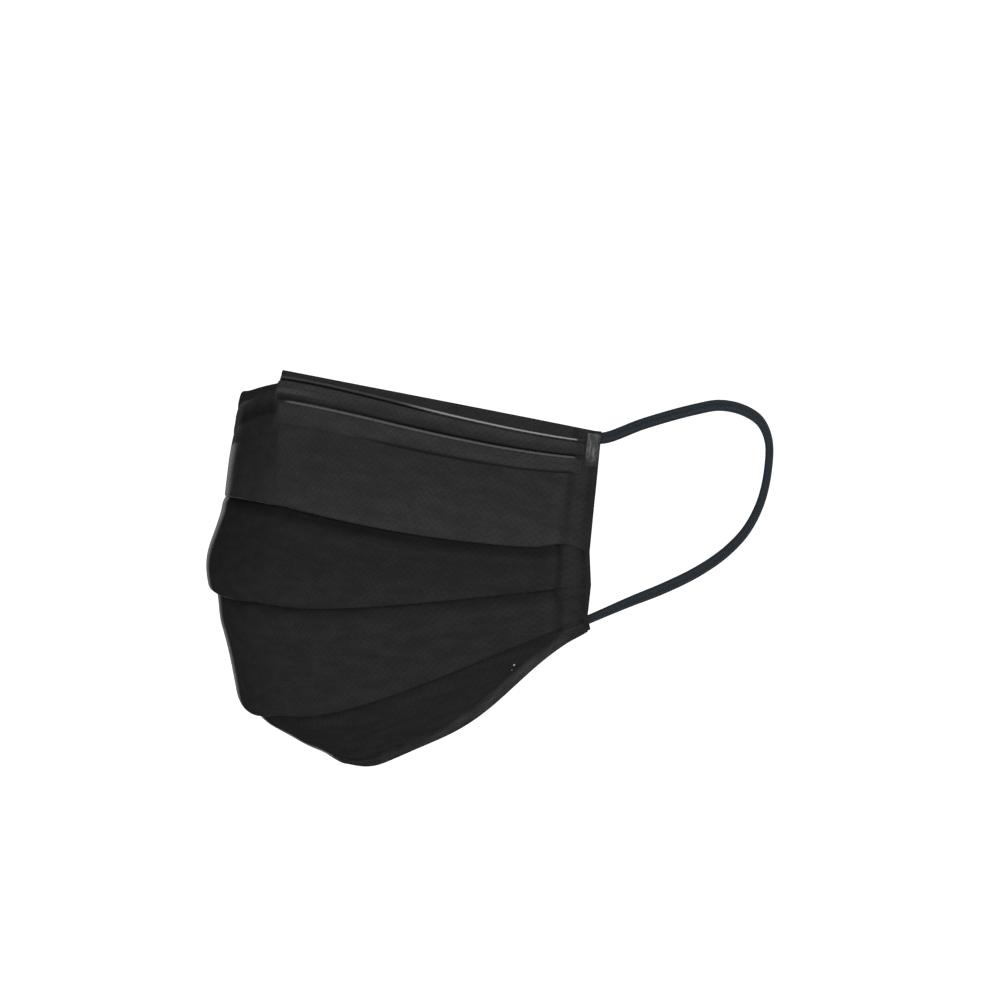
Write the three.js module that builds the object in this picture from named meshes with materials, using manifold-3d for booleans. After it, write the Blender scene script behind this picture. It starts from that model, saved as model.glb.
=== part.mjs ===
// A three-pleat face mask with ear loops, in the form it takes on a face.
// Millimetres. +X is the wearer's left, -Y the front, +Z up.
// The origin is the inside of the crease on the bridge of the nose.

import * as THREE from 'three';
import { mergeVertices } from 'three/addons/utils/BufferGeometryUtils.js';
import Module from 'manifold-3d';

// ---------------------------------------------------------------- driving dimensions

const CLOTH_WALL = 1.0; // one thickness of the three-ply cloth
const LAYER_PITCH = 1.35; // from the middle of one folded layer to the middle of the next
const SEAM_PRESS = 0.45; // the side seams press wall and pitch to this share
const SEAM_FADE = 0.8; // the pressing fades out over this share of the side hem's width
const CLEARANCE = 0.3; // air between two pieces that touch
const TAPE_WALL = 1.0; // wall of the hems and of the side hems
const HALF_WIDTH = 87.5; // from the nose line to the side edge, along the cloth

const SIDE_HEM_WIDTH = 7.5; // on the inside, where the side margin is turned in
const SIDE_HEM_LIP = 2.0; // on the outside, where it rolls over the edge
const SIDE_HEM_TURN = 1.5; // from the edge to where the roll of the side hem begins
const HEM_RAMP = 3.0; // length over which the side hem's inner leg steps back behind a thicker stack
const CHIN_HEM_WIDTH = 6.0;
const CHIN_HEM_SHARE = 0.75; // of the lowest panel's height, the most that the hem takes up

const NOSE_BAND_END = 4.7; // from the side edge to the end of the nose band
const NOSE_BAND_HEIGHT = 7.6;
const WIRE_WIDTH = 4.0;
const WIRE_THICKNESS = 0.5;
const WIRE_DROP = 1.4; // from the upper edge of the band to the wire
const WIRE_END = 5.7; // from the side edge to the end of the wire
const CHANNEL_SLOPE = 0.7; // width of each slope of the raised channel over the wire
const SEAM_WIDTH = 1.0; // the flat welded strip below the channel

const ELASTIC_WIDTH = 3.2;
const ELASTIC_THICKNESS = 1.2;
const WELD_LENGTH = 9.0; // of the elastic's end that is welded to the side hem
const WELD_WIDTH = 3.8;
const WELD_INSET = 0.8; // from the edge of the mask to the weld
const WELD_THICKNESS = 0.9; // the weld presses the elastic flat
const ELASTIC_EXIT = 3.6; // from the middle of the weld to where the elastic is clear of the mask

// The two welds. seat is how far from the corner of the mask the elastic leaves the weld.
const WELDS = [
  { fromTop: true, seat: 1.7 },
  { fromTop: false, seat: 0.6 },
];

// The lines that run across the mask, from the top edge to the bottom edge. front and depth are
// y on the nose line and on the side edge, side is x on the side edge, crease is the share of
// a sharp V in the line seen from above (the rest is a bow), and z0, z1, z2 and z3 are the
// heights on the nose line, at a third, at two thirds and on the side edge. The wearer's right
// half isn't quite the left one's mirror image: lift raises it, most at its side edge, where
// the top pleat has opened less, and sway raises it most halfway.
const LINES = {
  top: {
    front: 0, depth: 56.8, side: 67.5, crease: 0.6, lift: 0, sway: 0,
    z0: 0, z1: -4.9, z2: -10.6, z3: -17.3,
  },
  fold1: {
    front: -4, depth: 56.9, side: 65.3, crease: 0.25, lift: 10, sway: 0,
    z0: -36.8, z1: -42, z2: -46.8, z3: -49.6,
  },
  fold2: {
    front: -11.5, depth: 60.7, side: 63.6, crease: 0, lift: 0, sway: 2.5,
    z0: -63.6, z1: -64.6, z2: -62.6, z3: -59.4,
  },
  fold3: {
    front: -2.8, depth: 62.7, side: 61, crease: 0.2, lift: 0, sway: -2.4,
    z0: -95.5, z1: -92, z2: -81.2, z3: -67.3,
  },
  bottom: {
    front: 26.6, depth: 63.4, side: 59.4, crease: 0.6, lift: 0, sway: 3.4,
    z0: -110.8, z1: -106.4, z2: -91.8, z3: -72,
  },
};

// The four panels between those lines. bulge is how far the middle of the panel stands out on
// the nose line and near the side, and low moves the bulge towards the panel's lower edge. Over
// the length free, but no more than FREE_SHARE of its height, each lower panel comes forward
// from behind the pleat above it.
const FREE_SHARE = 0.5;

const PANELS = [
  { from: 'top', to: 'fold1', bulgeFront: 1.0, bulgeSide: 1.5, low: 1, free: 0 },
  { from: 'fold1', to: 'fold2', bulgeFront: 3.7, bulgeSide: 1.0, low: 1.7, free: 4 },
  { from: 'fold2', to: 'fold3', bulgeFront: 1.0, bulgeSide: 1.0, low: 1, free: 14 },
  { from: 'fold3', to: 'bottom', bulgeFront: 1.8, bulgeSide: 0.6, low: 1, free: 12 },
];

// How far each pleat runs up behind the panel above it.
const PLEATS = [
  { front: 3.6, side: 12 },
  { front: 3.6, side: 6 },
  { front: 3.6, side: 4.5 },
];

// The crease on the nose is pinched: the wearer's right half starts lower, and meets the
// other half's height again after fadesOver of its width.
const PINCH = { drop: 3.4, width: 1.1, fadesOver: 0.65 };

// How far the upper edge of the nose band lies below the top edge, at the same four places.
const NOSE_BAND_DROP = { z0: 1.5, z1: 1.9, z2: 3.4, z3: 2.6 };

// The left ear loop's route, from the upper weld round the back of the ear to the lower weld.
const EAR_LOOP_ROUTE = [
  { x: 70, y: 72, z: -15.4 },
  { x: 72, y: 92, z: -12.3 },
  { x: 72.6, y: 103, z: -11.6 },
  { x: 73, y: 113.5, z: -13.6 },
  { x: 73, y: 121, z: -17.3 },
  { x: 72.6, y: 125, z: -23 },
  { x: 72, y: 125.4, z: -31 },
  { x: 71.5, y: 123, z: -39.5 },
  { x: 71, y: 117.5, z: -47 },
  { x: 70.3, y: 109.4, z: -52.8 },
  { x: 69.5, y: 97.7, z: -57.8 },
  { x: 68.2, y: 83.2, z: -62 },
  { x: 65, y: 71.5, z: -65.4 },
];

const STATIONS_PER_HALF = 14;
const SIDE_STEP = 4.5; // at most, between the sections of a side hem
const LOOP_STATIONS = 44;
const STEP = 0.01; // in t and in v, for the directions of the cloth
const FOLD_DEGREES = [60, 120]; // where a turn of a fold has its sections
const ROLL_DEGREES = [45, 90, 135]; // the same for the roll of a side hem

// ---------------------------------------------------------------- the form on the face

function mix(a, b, share) {
  return a + (b - a) * share;
}

function smooth(from, to, value) {
  return THREE.MathUtils.smoothstep(value, from, to);
}

// The value at share a of a cubic through four values that are a third apart.
function throughFour(row, a) {
  const b = 3 * a;
  const near = (row.z0 * (1 - b) * (2 - b) * (3 - b)) / 6 + (row.z1 * b * (2 - b) * (3 - b)) / 2;
  const far = (row.z2 * b * (b - 1) * (3 - b)) / 2 + (row.z3 * b * (b - 1) * (b - 2)) / 6;
  return near + far;
}

// A point of one of the lines. t runs from -1, the right side edge, to 1, the left one.
function linePoint(name, t) {
  const line = LINES[name];
  const a = Math.abs(t);
  const bow = line.crease * a + (1 - line.crease) * a * a;
  let z = throughFour(line, a);
  if (t < 0) z += line.lift * a * (2 - a) + line.sway * 4 * a * (1 - a);
  if (t < 0 && name === 'top') {
    const started = smooth(0, PINCH.width / line.side, a);
    z -= PINCH.drop * started * Math.max(0, 1 - a / PINCH.fadesOver);
  }
  return new THREE.Vector3(line.side * t, mix(line.front, line.depth, bow), z);
}

// How much the side seam presses the layers together at t.
function press(t) {
  const seam = SIDE_HEM_WIDTH / HALF_WIDTH;
  return mix(1, SEAM_PRESS, smooth(1 - (1 + SEAM_FADE) * seam, 1 - seam, Math.abs(t)));
}

// A point on a panel: a bulged strip between its two lines. It comes out from behind the two
// layers of the pleat above it over the first few millimetres.
function panelPoint(index, t, v) {
  const panel = PANELS[index];
  const start = linePoint(panel.from, t);
  const end = linePoint(panel.to, t);
  const along = linePoint(panel.to, t + STEP).sub(linePoint(panel.to, t - STEP));
  const outwards = end.clone().sub(start).cross(along).normalize();
  const flat = Math.min(1, Math.abs(t) / (1 - SIDE_HEM_LIP / HALF_WIDTH)) ** 8;
  const bulge = mix(panel.bulgeFront, panel.bulgeSide, t * t) * (1 - flat);
  let above = bulge * Math.sin(Math.PI * Math.max(v, 0) ** panel.low);
  if (index > 0) {
    const height = panelHeight(index, t);
    const free = Math.min(panel.free, FREE_SHARE * height);
    above -= 2 * LAYER_PITCH * press(t) * (1 - smooth(0, free, v * height));
  }
  return start.lerp(end, v).addScaledVector(outwards, above);
}

function panelHeight(index, t) {
  const panel = PANELS[index];
  return linePoint(panel.from, t).distanceTo(linePoint(panel.to, t));
}

// The panel's direction down the cloth and its outward normal at (t, v).
function panelFrame(index, t, v) {
  const low = Math.min(v + STEP, 1);
  const down = panelPoint(index, t, low).sub(panelPoint(index, t, low - 2 * STEP)).normalize();
  const line = PANELS[index].to;
  const along = linePoint(line, t + STEP).sub(linePoint(line, t - STEP));
  const normal = down.clone().cross(along).normalize();
  return { down, normal };
}

// ---------------------------------------------------------------- solids from sheets

// A closed body from a grid of middle points and normals, thick to both sides. rows run
// along the mask from right to left, and each row has the same number of cells.
function sheetGeometry(rows) {
  const across = rows[0].length;
  const layer = rows.length * across;
  const positions = [];
  for (const side of [1, -1]) {
    for (const row of rows) {
      for (const cell of row) {
        const corner = cell.middle.clone().addScaledVector(cell.normal, side * cell.half);
        positions.push(corner.x, corner.y, corner.z);
      }
    }
  }
  const faces = [];
  const quad = (a, b, c, d) => faces.push(a, b, c, a, c, d);
  const last = rows.length - 1;
  const end = across - 1;
  for (let i = 0; i < last; i += 1) {
    for (let j = 0; j < end; j += 1) {
      const a = i * across + j;
      const b = a + across;
      quad(a, a + 1, b + 1, b);
      quad(layer + a, layer + b, layer + b + 1, layer + a + 1);
    }
    const a = i * across;
    quad(a, a + across, layer + a + across, layer + a);
    quad(a + end + across, a + end, layer + a + end, layer + a + end + across);
  }
  for (let j = 0; j < end; j += 1) {
    quad(j + 1, j, layer + j, layer + j + 1);
    const b = last * across + j;
    quad(b, b + 1, layer + b + 1, layer + b);
  }
  const geometry = new THREE.BufferGeometry();
  geometry.setAttribute('position', new THREE.Float32BufferAttribute(positions, 3));
  geometry.setIndex(faces);
  return geometry;
}

function clothMesh(name, geometry, color, roughness, metalness = 0) {
  const material = new THREE.MeshStandardMaterial({ color, roughness, metalness });
  geometry.computeVertexNormals();
  const mesh = new THREE.Mesh(geometry, material);
  mesh.name = name;
  return mesh;
}

// Places across the mask from right to left, closer together at the crease and at the seams.
function stations(reach) {
  const places = [];
  for (let k = -STATIONS_PER_HALF; k <= STATIONS_PER_HALF; k += 1) {
    const share = (1 - Math.cos((Math.PI * Math.abs(k)) / STATIONS_PER_HALF)) / 2;
    places.push(Math.sign(k) * share * reach);
  }
  const foot = -PINCH.width / LINES.top.side;
  places.push(foot);
  return places.sort((a, b) => a - b).filter((t, i, all) => i === 0 || t - all[i - 1] > 0.004);
}

// A turn of half a circle from the outer side of its centre to the inner side. bend is 1 where
// the cloth turns round the foot of a fold, and -1 where it turns round the head.
function turnCells(centre, outwards, towards, radius, half, bend) {
  const cells = [];
  for (const degrees of FOLD_DEGREES) {
    const angle = THREE.MathUtils.degToRad(degrees);
    const radial = outwards.clone().multiplyScalar(Math.cos(angle));
    radial.addScaledVector(towards, Math.sin(angle));
    const middle = centre.clone().addScaledVector(radial, radius);
    cells.push({ middle, normal: radial.multiplyScalar(bend), half });
  }
  return cells;
}

// ---------------------------------------------------------------- the pleated body

// The cells of one section of the cloth, from the top edge to the bottom edge, down the face
// of each panel and up and down again behind its lower fold.
function bodySection(t, endTrim) {
  const cells = [];
  const pinched = press(t);
  const half = (CLOTH_WALL * pinched) / 2;
  const pitch = LAYER_PITCH * pinched;
  PANELS.forEach((panel, index) => {
    const height = panelHeight(index, t);
    const isLast = index === PANELS.length - 1;
    const endShare = 1 - (isLast ? endTrim : pitch / 2) / height;
    const shares = [0, 0.2, 0.4, 0.6, 0.8].map((s) => s * endShare).concat(endShare);
    for (const v of shares) {
      const { normal } = panelFrame(index, t, v);
      cells.push({ middle: panelPoint(index, t, v), normal, half });
    }
    if (isLast) return;
    const pleat = PLEATS[index];
    const depth = mix(pleat.front, pleat.side, t * t);
    const behind = (up, offset, sign) => {
      const v = 1 - up / height;
      const { normal } = panelFrame(index, t, v);
      const middle = panelPoint(index, t, v).addScaledVector(normal, -offset);
      return { middle, normal: normal.multiplyScalar(sign), half };
    };
    const foot = panelFrame(index, t, endShare);
    const footCentre = panelPoint(index, t, endShare).addScaledVector(foot.normal, -pitch / 2);
    cells.push(...turnCells(footCentre, foot.normal, foot.down, pitch / 2, half, 1));
    cells.push(behind(pitch / 2, pitch, -1));
    cells.push(behind(depth - pitch / 2, pitch, -1));
    const headShare = 1 - (depth - pitch / 2) / height;
    const head = panelFrame(index, t, headShare);
    const headCentre = panelPoint(index, t, headShare).addScaledVector(head.normal, -1.5 * pitch);
    const upwards = head.down.clone().negate();
    cells.push(...turnCells(headCentre, head.normal, upwards, pitch / 2, half, -1));
    cells.push(behind(depth - pitch / 2, 2 * pitch, 1));
    cells.push(behind(pitch / 2, 2 * pitch, 1));
  });
  return cells;
}

function maskBody() {
  const reach = 1 - (TAPE_WALL + CLEARANCE) / HALF_WIDTH;
  const endTrim = TAPE_WALL + 2 * CLEARANCE;
  const rows = stations(reach).map((t) => bodySection(t, endTrim));
  return clothMesh('mask_body', sheetGeometry(rows), 0x2b2b2c, 0.85);
}

// ---------------------------------------------------------------- the nose band and its wire

// A cell on the top panel at a distance below the top edge and a height above its middle.
function onTopPanel(t, below, above, half) {
  const v = below / panelHeight(0, t);
  const { normal } = panelFrame(0, t, v);
  const middle = panelPoint(0, t, v).addScaledVector(normal, above);
  return { middle, normal, half };
}

function noseBand() {
  const flat = CLOTH_WALL / 2 + CLEARANCE + TAPE_WALL / 2;
  const raised = flat + CLEARANCE + WIRE_THICKNESS;
  const shoulder = raised - CLEARANCE;
  const wireFoot = WIRE_DROP + WIRE_WIDTH;
  const shape = [
    { below: 0, above: flat },
    { below: WIRE_DROP - CHANNEL_SLOPE, above: shoulder },
    { below: WIRE_DROP, above: raised },
    { below: wireFoot, above: raised },
    { below: wireFoot + CHANNEL_SLOPE, above: shoulder },
    { below: NOSE_BAND_HEIGHT - SEAM_WIDTH, above: flat },
    { below: NOSE_BAND_HEIGHT, above: flat },
  ];
  const rows = stations(1 - NOSE_BAND_END / HALF_WIDTH).map((t) => {
    const drop = throughFour(NOSE_BAND_DROP, Math.abs(t));
    return shape.map(({ below, above }) => onTopPanel(t, drop + below, above, TAPE_WALL / 2));
  });
  rows.forEach((row) => tiltNormals(row));
  return clothMesh('nose_band', sheetGeometry(rows), 0x2e2e30, 0.7);
}

// Turns the normals of a section to stand square on the line through its own points.
function tiltNormals(row) {
  const downs = row.map((cell, j) => {
    const before = row[Math.max(j - 1, 0)].middle;
    const after = row[Math.min(j + 1, row.length - 1)].middle;
    return after.clone().sub(before).normalize();
  });
  row.forEach((cell, j) => {
    cell.normal.addScaledVector(downs[j], -cell.normal.dot(downs[j])).normalize();
  });
}

function noseWire() {
  const above = CLOTH_WALL / 2 + CLEARANCE + WIRE_THICKNESS / 2;
  const rows = stations(1 - WIRE_END / HALF_WIDTH).map((t) => {
    const drop = throughFour(NOSE_BAND_DROP, Math.abs(t)) + WIRE_DROP;
    return [0, WIRE_WIDTH].map((below) => onTopPanel(t, drop + below, above, WIRE_THICKNESS / 2));
  });
  return clothMesh('nose_wire', sheetGeometry(rows), 0xb8bcc0, 0.4, 0.9);
}

// ---------------------------------------------------------------- the chin hem

function chinHem() {
  const index = PANELS.length - 1;
  const offset = CLOTH_WALL / 2 + CLEARANCE + TAPE_WALL / 2;
  const rows = stations(1 - (SIDE_HEM_LIP + CLEARANCE) / HALF_WIDTH).map((t) => {
    const height = panelHeight(index, t);
    const at = (up, above, sign) => {
      const v = 1 - up / height;
      const { normal } = panelFrame(index, t, v);
      const middle = panelPoint(index, t, v).addScaledVector(normal, above);
      return { middle, normal: normal.multiplyScalar(sign), half: TAPE_WALL / 2 };
    };
    const radius = offset;
    const width = Math.min(CHIN_HEM_WIDTH, CHIN_HEM_SHARE * height);
    const foot = radius + TAPE_WALL / 2;
    const centreShare = 1 - foot / height;
    const { down, normal } = panelFrame(index, t, centreShare);
    const centre = panelPoint(index, t, centreShare);
    return [
      at(width, offset, 1),
      at((width + foot) / 2, offset, 1),
      at(foot, offset, 1),
      ...turnCells(centre, normal, down, radius, TAPE_WALL / 2, 1),
      at(foot, -offset, -1),
      at((width + foot) / 2, -offset, -1),
      at(width, -offset, -1),
    ];
  });
  return clothMesh('chin_hem', sheetGeometry(rows), 0x303032, 0.8);
}

// ---------------------------------------------------------------- the side hems

// The ends of the lines at the side edge, from top to bottom.
function sideEnds(side) {
  return Object.keys(LINES).map((name) => linePoint(name, side));
}

function sideLength(side) {
  return sideEnds(side).reduce((sum, end, i, ends) => sum + (i ? end.distanceTo(ends[i - 1]) : 0), 0);
}

// At the distance below down the side edge: the edge point, the way down it, the way out along
// the cloth and the normal of the cloth, facing out.
function sideFrame(side, below) {
  const ends = sideEnds(side);
  const last = ends.length - 1;
  let index = 0;
  let rest = below;
  while (index < last - 1 && rest > ends[index].distanceTo(ends[index + 1])) {
    rest -= ends[index].distanceTo(ends[index + 1]);
    index += 1;
  }
  const share = rest / ends[index].distanceTo(ends[index + 1]);
  const inboard = side * (1 - SIDE_HEM_WIDTH / HALF_WIDTH);
  const outs = Object.keys(LINES).map((name, i) => ends[i].clone().sub(linePoint(name, inboard)));
  const downs = ends.map((end, i) => {
    const before = ends[Math.max(i - 1, 0)];
    return ends[Math.min(i + 1, last)].clone().sub(before).normalize();
  });
  const middle = ends[index].clone().lerp(ends[index + 1], share);
  const down = downs[index].lerp(downs[index + 1], share).normalize();
  const out = outs[index].lerp(outs[index + 1], share);
  out.addScaledVector(down, -out.dot(down)).normalize();
  const normal = down.clone().cross(out).multiplyScalar(side).normalize();
  return { middle, out, normal };
}

// Where the side hem has its sections: at each line's end and at even steps between them.
function sideStations(side) {
  const places = [0];
  sideEnds(side).forEach((end, i, ends) => {
    if (i === 0) return;
    const length = end.distanceTo(ends[i - 1]);
    const steps = Math.ceil(length / SIDE_STEP);
    const start = places[places.length - 1];
    for (let k = 1; k <= steps; k += 1) places.push(start + (k * length) / steps);
  });
  return places;
}

// Depth of what lies behind the outermost layer at the distance below down the side edge: the
// pressed pleats, from above the head of the first one, and near the bottom corner the chin
// hem's inner leg too.
function stackDepth(side, below) {
  const head = linePoint('top', side).distanceTo(linePoint('fold1', side)) - PLEATS[0].side;
  const pleats = 2 * LAYER_PITCH * SEAM_PRESS * smooth(head - 2 * HEM_RAMP, head - HEM_RAMP / 2, below);
  const chin = sideLength(side) - CHIN_HEM_WIDTH;
  return pleats + TAPE_WALL * smooth(chin - HEM_RAMP, chin, below);
}

function sideHem(side, name) {
  const front = (CLOTH_WALL * SEAM_PRESS) / 2 + CLEARANCE + TAPE_WALL / 2;
  const half = TAPE_WALL / 2;
  const rows = sideStations(side).map((below) => {
    const { middle, out, normal } = sideFrame(side, below);
    const back = -front - stackDepth(side, below);
    const radius = (front - back) / 2;
    const cell = (inboard, above, facing) => ({
      middle: middle.clone().addScaledVector(out, -inboard).addScaledVector(normal, above),
      normal: facing,
      half,
    });
    const reach = SIDE_HEM_TURN - half;
    const centre = cell(SIDE_HEM_TURN, (front + back) / 2).middle;
    const turn = ROLL_DEGREES.map((degrees) => {
      const angle = THREE.MathUtils.degToRad(degrees);
      const place = centre.clone().addScaledVector(normal, radius * Math.cos(angle));
      place.addScaledVector(out, reach * Math.sin(angle));
      const facing = normal.clone().multiplyScalar(Math.cos(angle) / radius);
      facing.addScaledVector(out, Math.sin(angle) / reach).normalize();
      return { middle: place, normal: facing, half };
    });
    const inwards = normal.clone().negate();
    return [
      cell(SIDE_HEM_LIP, front, normal.clone()),
      cell(SIDE_HEM_TURN, front, normal.clone()),
      ...turn,
      cell(SIDE_HEM_TURN, back, inwards.clone()),
      cell(SIDE_HEM_WIDTH, back, inwards.clone()),
    ];
  });
  const geometry = sheetGeometry(side > 0 ? rows.reverse() : rows);
  return clothMesh(name, geometry, 0x343436, 0.75);
}

// ---------------------------------------------------------------- the ear loops

const wasm = await Module();
wasm.setup();

function toManifold(geometry) {
  const bare = geometry.clone();
  for (const key of Object.keys(bare.attributes)) {
    if (key !== 'position') bare.deleteAttribute(key);
  }
  const merged = mergeVertices(bare, 1e-4);
  return new wasm.Manifold(
    new wasm.Mesh({
      numProp: 3,
      vertProperties: new Float32Array(merged.attributes.position.array),
      triVerts: new Uint32Array(merged.index.array),
    }),
  );
}

function toGeometry(manifold) {
  const mesh = manifold.getMesh();
  const geometry = new THREE.BufferGeometry();
  geometry.setAttribute('position', new THREE.Float32BufferAttribute(mesh.vertProperties, 3));
  geometry.setIndex(Array.from(mesh.triVerts));
  return geometry;
}

// Where the elastic lies on the inside of the side hem, away from the mask's corner: its middle.
function weldFrame(side, weld, away) {
  const below = weld.fromTop ? away : sideLength(side) - away;
  const frame = sideFrame(side, below);
  const depth = (CLOTH_WALL * SEAM_PRESS) / 2 + TAPE_WALL + 2 * CLEARANCE + stackDepth(side, below);
  frame.middle.addScaledVector(frame.normal, -depth - ELASTIC_THICKNESS / 2);
  frame.middle.addScaledVector(frame.out, -WELD_INSET - WELD_WIDTH / 2);
  return frame;
}

// The welded end: a flat pad along the side edge.
function weldPad(side, weld) {
  const rows = [0, 1, 2, 3].map((k) => {
    const away = WELD_INSET + (k * WELD_LENGTH) / 3;
    const { middle, out, normal } = weldFrame(side, weld, away);
    return [-WELD_WIDTH / 2, WELD_WIDTH / 2].map((across) => ({
      middle: middle.clone().addScaledVector(out, across),
      normal: normal.clone(),
      half: WELD_THICKNESS / 2,
    }));
  });
  return sheetGeometry(side > 0 === weld.fromTop ? rows.reverse() : rows);
}

// The flat elastic, from weld to weld. It lies flat on the welds and flat to the head between.
function elastic(side) {
  const ends = WELDS.map((weld) => weldFrame(side, weld, weld.seat));
  const exits = ends.map(({ middle, out }) => middle.clone().addScaledVector(out, ELASTIC_EXIT));
  const between = EAR_LOOP_ROUTE.map(({ x, y, z }) => new THREE.Vector3(side * x, y, z));
  const points = [ends[0].middle, exits[0], ...between, exits[1], ends[1].middle];
  const route = new THREE.CatmullRomCurve3(points, false, 'centripetal');
  const rows = [];
  for (let k = 0; k <= LOOP_STATIONS; k += 1) {
    const s = k / LOOP_STATIONS;
    const tangent = route.getTangentAt(s);
    const free = smooth(0, 0.2, s) * smooth(1, 0.8, s);
    const seat = s < 0.5 ? ends[0].normal : ends[1].normal;
    const flat = seat.clone().lerp(new THREE.Vector3(side, 0, 0), free);
    flat.addScaledVector(tangent, -flat.dot(tangent)).normalize();
    const across = tangent.clone().cross(flat);
    rows.push(
      [-ELASTIC_WIDTH / 2, ELASTIC_WIDTH / 2].map((w) => ({
        middle: route.getPointAt(s).addScaledVector(across, w),
        normal: flat.clone(),
        half: ELASTIC_THICKNESS / 2,
      })),
    );
  }
  return sheetGeometry(rows);
}

function earLoop(side, name) {
  const strand = toManifold(elastic(side));
  const whole = WELDS.reduce((sum, weld) => sum.add(toManifold(weldPad(side, weld))), strand);
  return clothMesh(name, toGeometry(whole), 0x2c2c2e, 0.9);
}

// ---------------------------------------------------------------- the mask

const mask = new THREE.Group();
mask.add(maskBody());
mask.add(noseBand());
mask.add(noseWire());
mask.add(chinHem());
mask.add(sideHem(1, 'side_hem_left'));
mask.add(sideHem(-1, 'side_hem_right'));
mask.add(earLoop(1, 'ear_loop_left'));
mask.add(earLoop(-1, 'ear_loop_right'));

export default mask;
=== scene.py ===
# %% [markdown]
# # A pleated surgical mask, dressed over its frame
#
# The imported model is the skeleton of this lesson: eight closed solids at their real size, with
# walls thick enough for a physics engine. Here every one of them gets its visible self: a thin
# pleated cloth, a welded band over a nose wire, turned margins and two flat elastics. Each cell
# makes one thing, at the frame's own size and in its own place, so nothing has to be moved or
# scaled afterwards.

# %% Load the frame
import math

import bpy
import numpy as np
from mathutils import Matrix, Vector


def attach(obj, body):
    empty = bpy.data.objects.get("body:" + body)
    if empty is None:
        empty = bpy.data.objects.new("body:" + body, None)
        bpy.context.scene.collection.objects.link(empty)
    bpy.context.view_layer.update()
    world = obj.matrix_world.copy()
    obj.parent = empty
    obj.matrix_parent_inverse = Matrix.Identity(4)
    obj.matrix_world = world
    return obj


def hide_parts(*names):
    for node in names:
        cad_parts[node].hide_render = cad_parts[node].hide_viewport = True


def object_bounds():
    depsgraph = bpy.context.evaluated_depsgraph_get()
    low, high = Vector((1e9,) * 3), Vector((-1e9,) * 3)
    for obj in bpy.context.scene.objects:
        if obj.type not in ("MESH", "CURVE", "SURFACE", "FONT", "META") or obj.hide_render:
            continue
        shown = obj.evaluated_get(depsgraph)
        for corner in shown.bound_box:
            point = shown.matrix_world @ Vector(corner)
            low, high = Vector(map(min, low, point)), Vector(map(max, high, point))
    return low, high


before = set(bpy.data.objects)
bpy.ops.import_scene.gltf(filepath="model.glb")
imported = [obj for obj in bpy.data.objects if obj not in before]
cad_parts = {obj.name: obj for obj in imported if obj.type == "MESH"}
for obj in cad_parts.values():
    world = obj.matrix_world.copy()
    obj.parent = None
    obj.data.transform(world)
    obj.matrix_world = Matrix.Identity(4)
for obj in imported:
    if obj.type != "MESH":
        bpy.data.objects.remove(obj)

cad_box = [list(corner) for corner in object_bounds()]
print("frame:", len(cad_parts), "nodes in a box", [round(b - a, 4) for a, b in zip(*cad_box)])

# %% [markdown]
# ## The camera
#
# A worn mask is looked at from a little above the mouth and well round to its left. A long lens
# from two metres away keeps the near and the far cheek at almost the same scale, which is how a
# product is usually shown. Aiming an object is done best with a tracking quaternion: it turns
# the camera's -Z to the target and keeps +Y up.

# %% Camera
AIM = Vector((0.04749, 0.03658, -0.03579))
CAMERA_DISTANCE = 2.0
CAMERA_AZIMUTH = 40.0
CAMERA_ELEVATION = 4.0
SENSOR_WIDTH = 36.0
LENS = 260.87


def direction(azimuth, elevation):
    """The way to a place round the mask, from angles in degrees; azimuth 0 is its front."""
    a, e = math.radians(azimuth), math.radians(elevation)
    return Vector((math.sin(a) * math.cos(e), -math.cos(a) * math.cos(e), math.sin(e)))


towards_camera = direction(CAMERA_AZIMUTH, CAMERA_ELEVATION)
camera = bpy.data.objects.new("camera", bpy.data.cameras.new("camera"))
camera.data.lens = LENS
camera.data.sensor_width = SENSOR_WIDTH
camera.location = AIM + towards_camera * CAMERA_DISTANCE
camera.rotation_euler = (-towards_camera).to_track_quat("-Z", "Y").to_euler()
bpy.context.collection.objects.link(camera)
bpy.context.scene.camera = camera
print("camera at", tuple(round(x, 3) for x in camera.location))

# %% [markdown]
# ## The form that the cloth takes
#
# The sheet is welded flat at its two sides and opens like an accordion in between. Five lines
# run across it: the top edge, the three folds and the bottom edge. Each line is a bow or a soft
# V seen from above, and a cubic through four heights seen from the front. A line is therefore
# one row of a table, and the cloth between two lines is a ruled strip with a little bulge.
#
# A table like this one shaped the solids of the frame. The two differ only in the bottom line,
# by less than two millimetres. The cloth adds what is finer: `ease` rounds the crease at the
# middle, the first fold puckers where it meets the side welds, the bottom edge has a ripple, and
# the top edge has a soft corner on the wearer's right cheek. Everything else hangs on these
# lines, so one number moves the cloth, its hems and the ends of the elastics together.

# %% Lines, panels and pleats, in millimetres
MM = 0.001
HALF_WIDTH = 87.5
CLOTH = 0.42
SIDE_MARGIN = 7.5

LINES = {
    "top": dict(front=0, depth=56.8, side=67.5, crease=0.6, ease=0.008,
                z0=0, z1=-4.9, z2=-10.6, z3=-17.3, lift=0, sway=0),
    "fold1": dict(front=-4, depth=56.9, side=65.3, crease=0.25, ease=0.03,
                  z0=-36.8, z1=-42, z2=-46.8, z3=-49.6, lift=10, sway=0),
    "fold2": dict(front=-11.5, depth=60.7, side=63.6, crease=0, ease=0.03,
                  z0=-63.6, z1=-64.6, z2=-62.6, z3=-59.4, lift=0, sway=2.5),
    "fold3": dict(front=-2.8, depth=62.7, side=61, crease=0.2, ease=0.04,
                  z0=-95.5, z1=-92, z2=-81.2, z3=-67.3, lift=0, sway=-2.4),
    "bottom": dict(front=26.6, depth=62.2, side=59.3, crease=0.6, ease=0.015,
                   z0=-111, z1=-106.2, z2=-90.2, z3=-71.8, lift=0, sway=5),
}
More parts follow.
